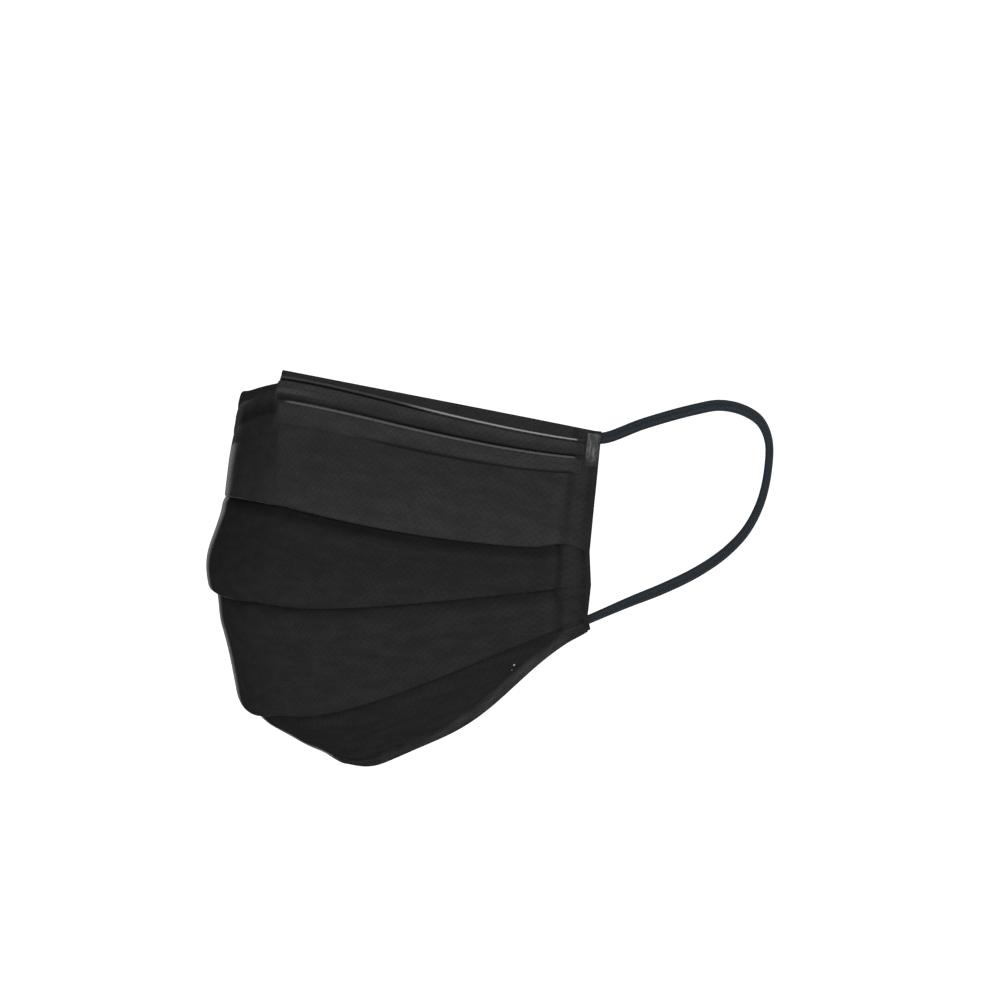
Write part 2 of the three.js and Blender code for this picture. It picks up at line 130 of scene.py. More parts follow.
PANELS = [
    dict(start="top", end="fold1", bulge_front=-0.3, bulge_side=1.0, low=1.5, free=0, rows=40),
    dict(start="fold1", end="fold2", bulge_front=2.4, bulge_side=1.0, low=1.8, free=4, rows=32),
    dict(start="fold2", end="fold3", bulge_front=-1.2, bulge_side=0.5, low=1.0, free=12, rows=34),
    dict(start="fold3", end="bottom", bulge_front=0.8, bulge_side=0.5, low=1.0, free=8, rows=30),
]
PLEATS = [
    dict(front=3.6, side=12, open_front=1.0, open_side=0.62, pressed=0.35, right=0.5),
    dict(front=3.6, side=6, open_front=1.1, open_side=0.62, pressed=0.06, right=1.0),
    dict(front=3.6, side=4.5, open_front=0.9, open_side=0.62, pressed=0.15, right=1.0),
]
RIPPLE = dict(line="bottom", height=1.0, centre=0.28, length=0.57)
PINCH = dict(drop=3.4, width=1.1, fades_over=0.65)
CORNER = dict(place=0.6, width=0.13, height=1.0)
PUCKER = dict(line="fold1", place=0.905, width=0.045, height=1.3, end_from=0.91, end_drop=1.3)


def mix(a, b, share):
    return a + (b - a) * share


def smooth(low, high, value):
    share = np.clip((value - low) / (high - low), 0, 1)
    return share * share * (3 - 2 * share)


def hump(value, at, width):
    return np.exp(-(((value - at) / width) ** 2))


def through_four(row, a):
    b = 3 * a
    near = row["z0"] * (1 - b) * (2 - b) * (3 - b) / 6 + row["z1"] * b * (2 - b) * (3 - b) / 2
    far = row["z2"] * b * (b - 1) * (3 - b) / 2 + row["z3"] * b * (b - 1) * (b - 2) / 6
    return near + far


def line_points(name, t):
    """Points of a line. t runs from -1, the wearer's right side edge, to 1, the left one."""
    line = LINES[name]
    t = np.asarray(t, float)
    a = np.sqrt(t * t + line["ease"] ** 2) - line["ease"]
    bow = line["crease"] * a + (1 - line["crease"]) * a * a
    z = through_four(line, a)
    right = t < 0
    z = z + right * (line["lift"] * a * (2 - a) + line["sway"] * 4 * a * (1 - a))
    if name == RIPPLE["line"]:
        ripple = np.cos(2 * math.pi * (a - RIPPLE["centre"]) / RIPPLE["length"])
        z = z + RIPPLE["height"] * ripple * smooth(0, 0.2, a) * smooth(1, 0.9, a)
    if name == PUCKER["line"]:
        z = z + PUCKER["height"] * hump(a, PUCKER["place"], PUCKER["width"])
        z = z - PUCKER["end_drop"] * smooth(PUCKER["end_from"], 1, a)
    if name == "top":
        started = smooth(0, PINCH["width"] / line["side"], np.abs(t))
        z = z - right * PINCH["drop"] * started * np.clip(1 - a / PINCH["fades_over"], 0, 1)
        z = z + right * CORNER["height"] * hump(a, CORNER["place"], CORNER["width"])
    return np.stack([line["side"] * t, mix(line["front"], line["depth"], bow), z], -1)


print("top edge from", line_points("top", -1.0).round(1), "to", line_points("top", 1.0).round(1))

# %% [markdown]
# ## Dents, creases and unevenness
#
# A folded sheet of non-woven is never quite smooth. Where the margins are welded over the ends
# of the pleats the cloth puckers, and the folds that it was packed with stay as soft ridges.
# Each such mark is one row of a table: a stretch from one place on a panel to another, with a
# width and a lift. Slow waves on top of that keep the highlights from being ruler straight; on
# the wearer's right, where the cloth is drawn tighter, they almost go.

# %% Marks on the cloth
MARKS = [
    # below the wearer's right half of the wire the cloth leans in
    dict(panel=0, t0=-0.1, v0=0.2, t1=-0.9, v1=0.25, width=6.0, lift=-1.0),
    # the inner edge of the turned margin, a ridge with a hollow beside it
    dict(panel=0, t0=0.918, v0=0.42, t1=0.935, v1=1.0, width=1.0, lift=0.55),
    dict(panel=0, t0=0.90, v0=0.5, t1=0.91, v1=1.0, width=1.6, lift=-0.25),
    dict(panel=1, t0=0.94, v0=0.1, t1=0.938, v1=1.0, width=1.0, lift=-0.7),
    dict(panel=1, t0=0.90, v0=0.1, t1=0.90, v1=0.9, width=2.6, lift=0.35),
    # the tuck at the end of the second fold
    dict(panel=2, t0=0.94, v0=0.0, t1=0.95, v1=0.62, width=0.8, lift=-0.6),
    dict(panel=2, t0=0.948, v0=0.1, t1=0.972, v1=0.65, width=0.8, lift=0.5),
    dict(panel=2, t0=0.90, v0=0.25, t1=0.925, v1=0.5, width=2.0, lift=0.35),
    # the ridge along the welded strip
    dict(panel=1, t0=0.972, v0=0.65, t1=0.976, v1=1.0, width=0.8, lift=0.3),
    dict(panel=2, t0=0.977, v0=0.0, t1=0.985, v1=0.85, width=0.8, lift=0.3),
    # the pinch above the lower corner
    dict(panel=2, t0=0.955, v0=0.74, t1=0.965, v1=0.8, width=1.1, lift=-0.8),
    # the cloth comes forward at once below the first fold, on the wearer's right
    dict(panel=1, t0=-0.15, v0=0.05, t1=-0.85, v1=0.07, width=1.6, lift=0.55),
    # the soft fold that runs below the first pleat
    dict(panel=1, t0=-0.1, v0=0.2, t1=0.33, v1=0.24, width=1.6, lift=0.3),
]
WAVES = [
    # across and down are the waves' lengths in millimetres
    dict(across=61.0, down=47.0, turn=0.4, height=0.22),
    dict(across=37.0, down=71.0, turn=2.1, height=0.16),
    dict(across=23.0, down=29.0, turn=4.0, height=0.09),
    dict(across=13.0, down=17.0, turn=1.3, height=0.04),
]


def marks_lift(index, across, down, height):
    """How far the marks of one panel lift its surface, in millimetres."""
    lift = np.zeros(np.broadcast(across, down).shape)
    for mark in (m for m in MARKS if m["panel"] == index):
        run_x = (mark["t1"] - mark["t0"]) * HALF_WIDTH
        run_y = (mark["v1"] - mark["v0"]) * height
        from_x, from_y = across - mark["t0"] * HALF_WIDTH, down - mark["v0"] * height
        along = np.clip((from_x * run_x + from_y * run_y) / (run_x**2 + run_y**2), 0, 1)
        gap2 = (from_x - along * run_x) ** 2 + (from_y - along * run_y) ** 2
        lift = lift + mark["lift"] * np.exp(-gap2 / mark["width"] ** 2)
    return lift


def waves_lift(across, down):
    """Slow unevenness of the whole sheet, in millimetres."""
    lift = np.zeros(np.broadcast(across, down).shape)
    for wave in WAVES:
        phase = 2 * math.pi * (across / wave["across"] + down / wave["down"]) + wave["turn"]
        lift = lift + wave["height"] * np.sin(phase)
    return lift


print(len(MARKS), "marks and", len(WAVES), "waves")

# %% [markdown]
# ## One panel
#
# A panel is all the cloth between two lines. `across` is where we are along the sheet and `down`
# is how far below the upper line. Three things push it off the flat strip: its bulge, the marks
# and waves, and the way it starts two layers behind the fold above it and comes forward.

# %% A panel's surface
STEP = 0.004
FREE_SHARE = 0.5
# what is left of the cloth's thickness under a weld, and of its waves where it is taut
WELDED = 0.4
TAUT = 0.2
# the stretches of t over which the side weld begins, the pleats are pressed on the wearer's
# right, they open towards the side, and the cloth grows taut
WELD_STARTS = (0.925, 0.95)
PRESSED_RIGHT = (-0.3, -0.5)
OPENS_OVER = (0.2, 0.9)
TAUT_RIGHT = (-0.08, -0.25)
BULGE_ENDS = 1 / 1.02
WAVE_SHIFT = 31.0


def unit(vectors):
    return vectors / np.linalg.norm(vectors, axis=-1, keepdims=True)


def weld_press(t, left=WELDED):
    """What is left of a thickness where the side margins are welded."""
    return mix(1, left, smooth(*WELD_STARTS, np.abs(t)))


def opening(index, t):
    """Distance from one layer of a pleat to the next."""
    pleat = PLEATS[index]
    pressed = weld_press(t, pleat["pressed"]) * mix(1, pleat["right"], smooth(*PRESSED_RIGHT, t))
    return pressed * mix(pleat["open_front"], pleat["open_side"], smooth(*OPENS_OVER, np.abs(t)))


def panel_height(index, t):
    panel = PANELS[index]
    return np.linalg.norm(line_points(panel["end"], t) - line_points(panel["start"], t), axis=-1)


def panel_points(index, t, v):
    """Points of a panel; t and v are arrays of the same shape."""
    panel = PANELS[index]
    start, end = line_points(panel["start"], t), line_points(panel["end"], t)
    along = line_points(panel["end"], t + STEP) - line_points(panel["end"], t - STEP)
    outwards = unit(np.cross(end - start, along))
    height = panel_height(index, t)
    flat = np.clip(np.abs(t) / BULGE_ENDS, 0, 1) ** 8
    bulge = mix(panel["bulge_front"], panel["bulge_side"], t * t) * (1 - flat)
    above = bulge * np.sin(math.pi * np.clip(v, 0, 1) ** panel["low"])
    calm = smooth(0, 0.2, v) * smooth(1.0, 0.8, v) * mix(1, TAUT, smooth(*TAUT_RIGHT, t))
    across, down = t * HALF_WIDTH, v * height
    above = above + calm * (1 - flat) * waves_lift(across, down + WAVE_SHIFT * index)
    above = above + marks_lift(index, across, down, height)
    if index:
        free = np.minimum(panel["free"], FREE_SHARE * height)
        above = above - 2 * opening(index - 1, t) * (1 - smooth(0, free, down))
    return start + (end - start) * v[..., None] + outwards * above[..., None]


def panel_normal(index, t, v):
    down = panel_points(index, t, v + STEP) - panel_points(index, t, v - STEP)
    along = panel_points(index, t + STEP, v) - panel_points(index, t - STEP, v)
    return unit(np.cross(down, along)), unit(down)


def column(index, t, v, above=0.0):
    """Points of a panel at places v for every station t, lifted off it by above."""
    t = np.broadcast_to(t[:, None], v.shape)
    normal, _ = panel_normal(index, t, v)
    return panel_points(index, t, v) + normal * np.broadcast_to(above, v.shape)[..., None]


print("panel heights at the nose:", [round(float(panel_height(i, 0.0)), 1) for i in range(4)])

# %% [markdown]
# ## The pleated sheet
#
# Walking down the mask, the cloth goes down a panel, turns under, runs up behind it, turns
# again, and comes down as the next panel. Writing that walk once, as a list of runs and half
# turns, gives a regular grid of points: stations across by steps along the cloth. A regular grid
# is the simplest thing to thicken, to shade and to lay a pattern on.
#
# A real sheet is laid out once and keeps its lengths. Here each panel's pattern starts at the
# same distance down the sheet all along its fold, because then one list can paint the shade that
# falls just under a fold. What that costs is paid inside the pleats, out of sight.

# %% Walk along the cloth
STATIONS = 225
TURN_STEPS = 5
RUN_STEPS = 3
CROWDING = 0.07
DEEPEST_PLEAT = 0.8
SHEET_END = 0.6
PANEL_STARTS = [0.0, 46.0, 83.0, 125.0]


def stations(count, end_gap):
    """Places across, closer at the crease and the margins, up to a gap before the side edge."""
    share = np.linspace(-1, 1, count)
    reach = 1 - end_gap / HALF_WIDTH
    return reach * (share - CROWDING * np.sin(2 * math.pi * share))


def half_turn(index, t, share, offset, radius, upwards):
    """Points of a half turn behind a panel, its centre lying offset below the surface."""
    t2, v2 = t[:, None], share[:, None]
    normal, down = panel_normal(index, t2, v2)
    centre = panel_points(index, t2, v2) - normal * offset[:, None, None]
    angles = np.linspace(0, math.pi, TURN_STEPS + 2)[1:-1]
    sideways = -down if upwards else down
    ring = normal * np.cos(angles)[None, :, None] + sideways * np.sin(angles)[None, :, None]
    return centre + ring * radius[:, None, None]


def pleated_sheet(t):
    """The middle of the whole cloth as a grid, and how far down the cloth its points lie."""
    runs, downs = [], []
    for index, panel in enumerate(PANELS):
        height = panel_height(index, t)
        last = index == len(PANELS) - 1
        pitch = np.zeros_like(t) if last else opening(index, t)
        foot = 1 - pitch / 2 / height
        first = 0.0 if index == 0 else 1.0 / panel["rows"]
        shares = np.linspace(first, 1, panel["rows"])[None, :] * foot[:, None]
        runs.append(column(index, t, shares))
        downs.append(PANEL_STARTS[index] + shares * height[:, None])
        if last:
            break
        below = PANEL_STARTS[index + 1] - downs[-1][:, -1:]
        hidden = 2 * TURN_STEPS + 2 * RUN_STEPS
        downs.append(downs[-1][:, -1:] + below * np.linspace(0, 1, hidden + 2)[1:-1])
        depth = mix(PLEATS[index]["front"], PLEATS[index]["side"], t * t)
        depth = np.minimum(depth, DEEPEST_PLEAT * height)
        head = 1 - (depth - pitch / 2) / height
        up = np.linspace(0, 1, RUN_STEPS)[None, :]
        climb = foot[:, None] + (head - foot)[:, None] * up
        layer = pitch[:, None]
        runs.append(half_turn(index, t, foot, pitch / 2, pitch / 2, upwards=False))
        runs.append(column(index, t, climb, -layer))
        runs.append(half_turn(index, t, head, 1.5 * pitch, pitch / 2, upwards=True))
        runs.append(column(index, t, climb[:, ::-1], -2 * layer))
    return np.concatenate(runs, 1), np.concatenate(downs, 1)


sheet_t = stations(STATIONS, SHEET_END)
sheet_grid, sheet_down = pleated_sheet(sheet_t)
print("cloth grid:", sheet_grid.shape[:2], "points")

# %% [markdown]
# ## From a grid to a piece of cloth
#
# A sheet needs two faces and a rim, or it has no thickness where its edge shows. The normals of
# a regular grid are the cross product of its two directions. The helpers below also write a
# second map of the sheet, called "cloth", in millimetres along and down the material, because a
# woven or bonded pattern belongs to the material and not to the box that it sits in.

# %% Closed sheet from a grid
SHARP_FROM = 50.0


def grid_normals(grid):
    return unit(np.cross(np.gradient(grid, axis=1), np.gradient(grid, axis=0)))


def distances(points, axis=0):
    """How far along a run of points each of them lies."""
    steps = np.linalg.norm(np.diff(points, axis=axis), axis=-1)
    return np.insert(np.cumsum(steps, axis), 0, 0, axis)


def quads(a, b, c, d):
    return np.stack([a, b, c, d], -1).reshape(-1, 4)


def add_piece(name, points, faces, places=None, scale=MM):
    """A smooth mesh object. places say where its points lie on the "cloth" map."""
    mesh = bpy.data.meshes.new(name)
    mesh.from_pydata((np.asarray(points) * scale).tolist(), [], faces)
    if places is not None:
        corners = np.empty(len(mesh.loops), np.int32)
        mesh.loops.foreach_get("vertex_index", corners)
        layer = mesh.uv_layers.new(name="cloth")
        layer.uv.foreach_set("vector", places[corners].astype(np.float32).ravel())
    mesh.shade_smooth()
    made = bpy.data.objects.new(name, mesh)
    bpy.context.collection.objects.link(made)
    print(name, "has", len(mesh.polygons), "faces")
    return made


def closed_sheet(name, grid, half, across=None, down=None):
    """A closed mesh with two faces half a thickness off the grid, facing out."""
    n, m = grid.shape[:2]
    off = grid_normals(grid) * np.broadcast_to(half, (n, m))[..., None]
    points = np.concatenate([grid + off, grid - off]).reshape(-1, 3)
    index = np.arange(n * m).reshape(n, m)
    back = index + n * m
    faces = [
        quads(index[:-1, :-1], index[:-1, 1:], index[1:, 1:], index[1:, :-1]),
        quads(back[:-1, :-1], back[1:, :-1], back[1:, 1:], back[:-1, 1:]),
        quads(index[:-1, 0], index[1:, 0], back[1:, 0], back[:-1, 0]),
        quads(index[1:, -1], index[:-1, -1], back[:-1, -1], back[1:, -1]),
        quads(index[0, 1:], index[0, :-1], back[0, :-1], back[0, 1:]),
        quads(index[-1, :-1], index[-1, 1:], back[-1, 1:], back[-1, :-1]),
    ]
    places = np.empty((2, n, m, 2))
    places[..., 0] = np.reshape(distances(grid).mean(1) if across is None else across, (-1, 1))
    places[..., 1] = distances(grid, axis=1) if down is None else down
    made = add_piece(name, points, np.concatenate(faces).tolist(), places.reshape(-1, 2))
    made.data.set_sharp_from_angle(angle=math.radians(SHARP_FROM))
    return made


cloth_half = CLOTH / 2 * weld_press(sheet_t)[:, None]
mask_cloth = closed_sheet("mask_cloth", sheet_grid, cloth_half, sheet_t * HALF_WIDTH, sheet_down)

# %% [markdown]
# ## The nose band and its wire
#
# Along the top edge a strip is welded over a flat wire. It has a raised channel where the wire
# lies, a fine raised seam under it where the plies are fused, and a thin flap below that. A
# profile made of a few named bumps says all this, and it is carried along the panel's own
# surface, so that the band bends with the cloth.

# %% Nose band profile
SEAM_GAP = 0.03
NOSE_BAND_DROP = dict(z0=1.5, z1=1.9, z2=3.4, z3=2.6)
NOSE_BAND_END = 3.65
BAND_WALL = 0.2
BAND_LIFT = CLOTH / 2 + BAND_WALL / 2 + SEAM_GAP
BAND_SEAM = 6.2
BAND_FLAP = 11.5
FLAP_CURL = 0.2
BAND_ROWS = 92
CHANNEL = (1.0, 5.5)
CHANNEL_LIFT = 0.55
CHANNEL_CROWN = 0.5
FINE_RIGHT = 0.1
NOSE_RIDGE = dict(place=0.09, length=0.1, at=3.6, width=0.6, lift=0.3)
FLAP_SUNK = 0.05
BUMPS = [
    # at and width in rows, which are millimetres down the band before it is stretched
    dict(at=0.35, width=0.24, lift=0.16),
    dict(at=0.85, width=0.24, lift=-0.18),
    dict(at=5.6, width=0.32, lift=-0.18),
    dict(at=BAND_SEAM, width=0.21, lift=0.42),
    dict(at=6.75, width=0.34, lift=-0.18),
]


def band_stretch(t):
    """The band is taller at the nose, where the cloth faces the eye, than at its ends."""
    return mix(1.13, 0.80, np.abs(t) ** 2.6)


def on_the_band(t, rows, above):
    """Points at rows of the band, stretched to its local height, off the cloth's middle."""
    below = through_four(NOSE_BAND_DROP, np.abs(t))[:, None] + rows * band_stretch(t)[:, None]
    return column(0, t, below / panel_height(0, t)[:, None], above)


def band_grid(t, rows):
    """The band's middle surface. Its fine lines are fainter on the wearer's right."""
    along = t[:, None]
    far = smooth(0.015, -0.03, along)
    fine = mix(1, FINE_RIGHT, far)
    upper = smooth(CHANNEL[0] - 0.8 * far, CHANNEL[0] + 0.6, rows)
    lower = smooth(CHANNEL[1] + 2.0 * far, CHANNEL[1] - 0.7, rows)
    lift = BAND_LIFT + CHANNEL_LIFT * upper * lower
    in_channel = np.clip((rows - CHANNEL[0]) / (CHANNEL[1] - CHANNEL[0]), 0, 1)
    lift = lift + fine * CHANNEL_CROWN * np.sin(math.pi * in_channel**0.8)
    for bump in BUMPS:
        lift = lift + fine * bump["lift"] * hump(rows, bump["at"], bump["width"])
    beside_nose = hump(along, NOSE_RIDGE["place"], NOSE_RIDGE["length"])
    ridge = hump(rows, NOSE_RIDGE["at"], NOSE_RIDGE["width"])
    lift = lift + NOSE_RIDGE["lift"] * beside_nose * ridge
    pressed_flat = smooth(8, BAND_FLAP, rows) * smooth(0.45, 0.22, along)
    lift = lift - (BAND_LIFT - CLOTH / 2 + FLAP_SUNK) * pressed_flat
    curled = smooth(0.3, 0.5, along) * smooth(0.9, 0.72, along)
    lift = lift + FLAP_CURL * smooth(9.5, BAND_FLAP, rows) * curled
    return on_the_band(t, rows, lift)


band_t = stations(300, NOSE_BAND_END)
band_rows = np.linspace(0, BAND_FLAP, BAND_ROWS)
nose_band = closed_sheet(
    "nose_band_strip", band_grid(band_t, band_rows), BAND_WALL / 2, band_t * HALF_WIDTH, band_rows
)

# %% [markdown]
# The wire is a strip of dull aluminium as long as the band, less a millimetre at each end. It
# lies in the channel on the face of the cloth, so it is written with the same helper as the
# band, and it bends with the nose because the cloth does.

# %% Nose wire
WIRE_ROWS = (1.6, 4.7)
WIRE_THICKNESS = 0.5
WIRE_GAP = 0.02
WIRE_LIFT = CLOTH / 2 + WIRE_THICKNESS / 2 + WIRE_GAP
WIRE_SHORTER = 1.0

wire_t = stations(120, NOSE_BAND_END + WIRE_SHORTER)
wire_grid = on_the_band(wire_t, np.linspace(*WIRE_ROWS, 5), WIRE_LIFT)
nose_wire = closed_sheet("nose_wire_strip", wire_grid, WIRE_THICKNESS / 2)

# %% [markdown]
# ## The chin hem
#
# At the bottom edge the cloth is folded over once and spot welded. As a shape it is a long U
# round the edge. The welds are shallow dimples in two staggered rows, and they are real geometry
# here, because a dimple catches the light on one side and drops it on the other.

# %% Chin hem
CHIN_HEM_WIDTH = 6.0
CHIN_HEM_SHARE = 0.75
CHIN_HEM_END = 0.9
HEM_WALL = 0.3
HEM_EDGE = 0.04
HEM_GAP = 0.04
HEM_LIFT = CLOTH / 2 + HEM_WALL / 2 + HEM_GAP
HEM_DIMPLES = (1.9, 4.1)
DIMPLE_PITCH = 3.2
DIMPLE_WIDTH = 0.62
DIMPLE_DEPTH = 0.16


def dimples(along, across, rows):
    """Depth of staggered rows of round welds, along a strip and at places across it."""
    depth = np.zeros(np.broadcast(along, across).shape)
    for number, place in enumerate(rows):
        offset = (along / DIMPLE_PITCH + 0.5 * number) % 1 - 0.5
        gap2 = (offset * DIMPLE_PITCH) ** 2 + (across - place) ** 2
        depth = depth + np.exp(-gap2 / DIMPLE_WIDTH**2)
    return DIMPLE_DEPTH * depth


def chin_grid(t):
    """Grid and half thickness of the hem: thin at its upper edge outside, so that it blends in."""
    index = len(PANELS) - 1
    height = panel_height(index, t)
    width = np.minimum(CHIN_HEM_WIDTH, CHIN_HEM_SHARE * height)[:, None]
    foot = 1 - HEM_LIFT / height
    share = np.linspace(1, 0, 22)
    up = share[None, :] * (width - HEM_LIFT) + HEM_LIFT
    v = 1 - up / height[:, None]
    wall = mix(HEM_WALL, HEM_EDGE, smooth(0.1, 1, share))
    lift = CLOTH / 2 + wall / 2 + HEM_GAP * (1 - share)
    outer = column(index, t, v, lift - dimples((t * HALF_WIDTH)[:, None], up, HEM_DIMPLES))
    turn = half_turn(index, t, foot, np.zeros_like(t), np.full_like(t, HEM_LIFT), upwards=False)
    inner = column(index, t, v[:, ::-1][:, ::2], -HEM_LIFT)
    others = np.full(turn.shape[1] + inner.shape[1], HEM_WALL / 2)
    return np.concatenate([outer, turn, inner], 1), np.concatenate([wall / 2, others])


chin_t = stations(420, CHIN_HEM_END)
chin_hem = closed_sheet("chin_hem_fold", *chin_grid(chin_t), chin_t * HALF_WIDTH)

# %% [markdown]
# ## The side margins
#
# Each side of the mask is turned in over the ends of the pleats and welded. From the front only
# its rounded edge shows; from behind it is a flat strip. It needs its own small set of
# directions: down the edge, out along the cloth, and square off the cloth. They are worked out
# at the five line ends and blended in between.

# %% Side margins
SIDES = {"left": 1, "right": -1}
LIP = 1.5
LIP_HALVES = [0.02, 0.06, 0.11, 0.15]
LIP_LIFT = CLOTH * WELDED / 2 + HEM_WALL / 2 + SEAM_GAP
LAYERS_PRESSED = 2 * PLEATS[0]["open_side"] * WELDED
EDGE_REACH = 0.35
SIDE_ROWS = 110
MARGIN_PAST_TOP = 0.15
MARGIN_PAST_BOTTOM = 0.3
MARGIN_DIMPLES = (2.4, 5.2)
OVER_HEM = HEM_WALL + 0.06
PINCHED_HALF = 0.16


def line_ends(side, reach=1.0):
    """The end of every line at one side, or its point at a share of the way there."""
    return np.array([line_points(name, side * reach) for name in LINES])


def resampled(at, places, rows):
    """Vectors that are known at some places along a run, read at others."""
    return np.stack([np.interp(at, places, values) for values in rows.T], -1)


def side_frames(side, below):
    """Middle, out and normal at distances down a side edge, each an array of vectors."""
    ends = line_ends(side)
    places = distances(ends)
    down = unit(resampled(below, places, unit(np.gradient(ends, places, axis=0))))
    out = resampled(below, places, ends - line_ends(side, 1 - SIDE_MARGIN / HALF_WIDTH))
    past_the_end = below - np.clip(below, 0, places[-1])
    middle = resampled(below, places, ends) + down * past_the_end[:, None]
    out = unit(out - down * (out * down).sum(-1, keepdims=True))
    return middle, out, unit(side * np.cross(down, out))


def side_length(side):
    return distances(line_ends(side))[-1]


def stack_depth(side, below):
    """How deep the pressed pleats and the hem lie behind the face, down the side edge."""
    head = panel_height(0, side) - PLEATS[0]["side"]
    pleats = LAYERS_PRESSED * smooth(head - 6, head - 1.5, below)
    foot = side_length(side) - 6
    return pleats + 2 * HEM_LIFT * smooth(foot - 3, foot, below)


def margin_grid(side):
    """Grid and half thickness of a margin: over the hem below, and pinched flat at both ends."""
    length = side_length(side)
    top, bottom = -MARGIN_PAST_TOP, length + MARGIN_PAST_BOTTOM
    below = np.linspace(top, bottom, SIDE_ROWS)
    middle, out, normal = side_frames(side, below)
    front = LIP_LIFT + OVER_HEM * smooth(length - 5.5, length - 4, below)
    back = -HEM_LIFT - stack_depth(side, below)
    centre = (front + back) / 2
    plump = smooth(bottom, length - 0.6, below) * smooth(top, 0.8, below)
    front = mix(centre + PINCHED_HALF, front, plump)
    back = mix(centre - PINCHED_HALF, back, plump)
    radius = (front - back) / 2
    section = []
    for inboard, sunk in zip(np.linspace(LIP, EDGE_REACH, len(LIP_HALVES)), LIP_HALVES):
        section.append((inboard, front - HEM_WALL / 2 + sunk))
    for angle in np.linspace(0, math.pi, 11)[1:-1]:
        section.append((EDGE_REACH * (1 - math.sin(angle)), centre + radius * math.cos(angle)))
    for inboard in np.linspace(EDGE_REACH, SIDE_MARGIN, 20):
        section.append((inboard, back + dimples(below, inboard, MARGIN_DIMPLES)))
    columns = [middle - out * inboard + normal * above[:, None] for inboard, above in section]
    halves = np.full(len(columns), HEM_WALL / 2)
    halves[: len(LIP_HALVES)] = LIP_HALVES
    return np.stack(columns, 1), halves


side_margins = []
for side_name, side in SIDES.items():
    grid, halves = margin_grid(side)
    side_margins.append(closed_sheet(f"side_margin_{side_name}", grid[::-side], halves))

# %% [markdown]
# ## The ear loops
#
# A flat knitted elastic runs from a weld at the upper corner round the back of the ear to a weld
# at the lower corner. The route is a short list of points with a smooth curve through them, and
# the section, a flattened bar with shallow ribs, is swept along it. Between the welds the flat
# side turns to lie against the head.

# %% Route of the elastic
ELASTIC_WIDTH = 3.2
ELASTIC_THICKNESS = 0.95
WELD_LENGTH = 9.0
WELD_WIDTH = 3.8
WELD_INSET = 0.8
ELASTIC_EXIT = 3.6
SEATS = [dict(from_top=True, seat=1.7), dict(from_top=False, seat=1.4)]
EAR_LOOP_ROUTE = [
    (70, 72, -15.4),
    (72, 92, -12.3),
    (72.6, 103, -11.6),
    (73, 113.5, -13.6),
    (73, 121, -17.3),
    (72.6, 125, -23),
    (72, 125.4, -31),
    (71.5, 123, -39.5),
    (71, 117.5, -47),
    (70.3, 109.4, -52.8),
    (69.5, 97.7, -57.8),
    (68.2, 83.2, -62),
    (65, 71.5, -65.4),
]
LOOP_STEPS = 320
RING_STEPS = 40
RIBS = 5
RIB_DEPTH = 0.06
CURVE_STEPS = 24


def weld_place(side, from_top, seat):
    """Middle of the elastic on the inside of the margin, a seat's distance from the corner."""
    below = np.array([seat if from_top else side_length(side) - seat])
    middle, out, normal = side_frames(side, below)
    depth = HEM_LIFT + HEM_WALL / 2 + stack_depth(side, below) + ELASTIC_THICKNESS / 2 + SEAM_GAP
    place = middle - normal * depth - out * (WELD_INSET + WELD_WIDTH / 2)
    return place[0], out[0], normal[0]


def smooth_route(points, count):
    """Even steps along a centripetal spline through the points, and its length."""
    points = np.array(points, float)
    points = np.concatenate([[2 * points[0] - points[1]], points, [2 * points[-1] - points[-2]]])
    steps = np.diff(points, axis=0)
    gaps = np.linalg.norm(steps, axis=1, keepdims=True) ** 0.5
    slopes = steps[:-1] / gaps[:-1] + steps[1:] / gaps[1:]
    slopes = slopes - (points[2:] - points[:-2]) / (gaps[:-1] + gaps[1:])
    x = np.linspace(0, 1, CURVE_STEPS, endpoint=False)[:, None]
    fine = []
    spans = zip(points[1:], points[2:], slopes, slopes[1:], gaps[1:])
    for start, end, leaving, coming, gap in spans:
        fine.append(
            start * (2 * x**3 - 3 * x**2 + 1)
            + leaving * gap * (x**3 - 2 * x**2 + x)
            + end * (3 * x**2 - 2 * x**3)
            + coming * gap * (x**3 - x**2)
        )
    fine = np.concatenate([*fine, points[-2:-1]])
    places = distances(fine)
    return resampled(np.linspace(0, places[-1], count), places, fine), places[-1]


# %% [markdown]
# Sweeping a section means standing it square to the route at every step. Two directions are
# enough: along the route, and the one that the flat side faces. At the welds the flat side
# faces out of the margin, and round the ear it faces sideways, away from the head. In between
# the two are mixed, and the part that points along the route is taken off.

# %% Sweep the elastic
def squarish(value, power):
    """A sine or cosine pushed towards its ends, which flattens the faces of a section."""
    return np.sign(value) * np.abs(value) ** power


def elastic_ring():
    """The flattened section: places across and off the flat, with ribs on both faces."""
    angle = np.linspace(0, 2 * math.pi, RING_STEPS, endpoint=False)
    across = squarish(np.cos(angle), 0.55) * ELASTIC_WIDTH / 2
    off = squarish(np.sin(angle), 0.5) * ELASTIC_THICKNESS / 2
    ribs = RIB_DEPTH * np.cos(2 * math.pi * RIBS * across / ELASTIC_WIDTH)
    return across, off + np.sign(np.sin(angle)) * ribs * (np.abs(np.sin(angle)) > 0.4)


def tube_faces(rings, sides, first=0):
    """Faces round a stack of rings, with a cap on each end."""
    index = first + np.arange(rings * sides).reshape(rings, sides)
    after = np.roll(index, -1, axis=1)
    around = quads(index[:-1], after[:-1], after[1:], index[1:]).tolist()
    return [*around, index[0, ::-1].tolist(), index[-1].tolist()]


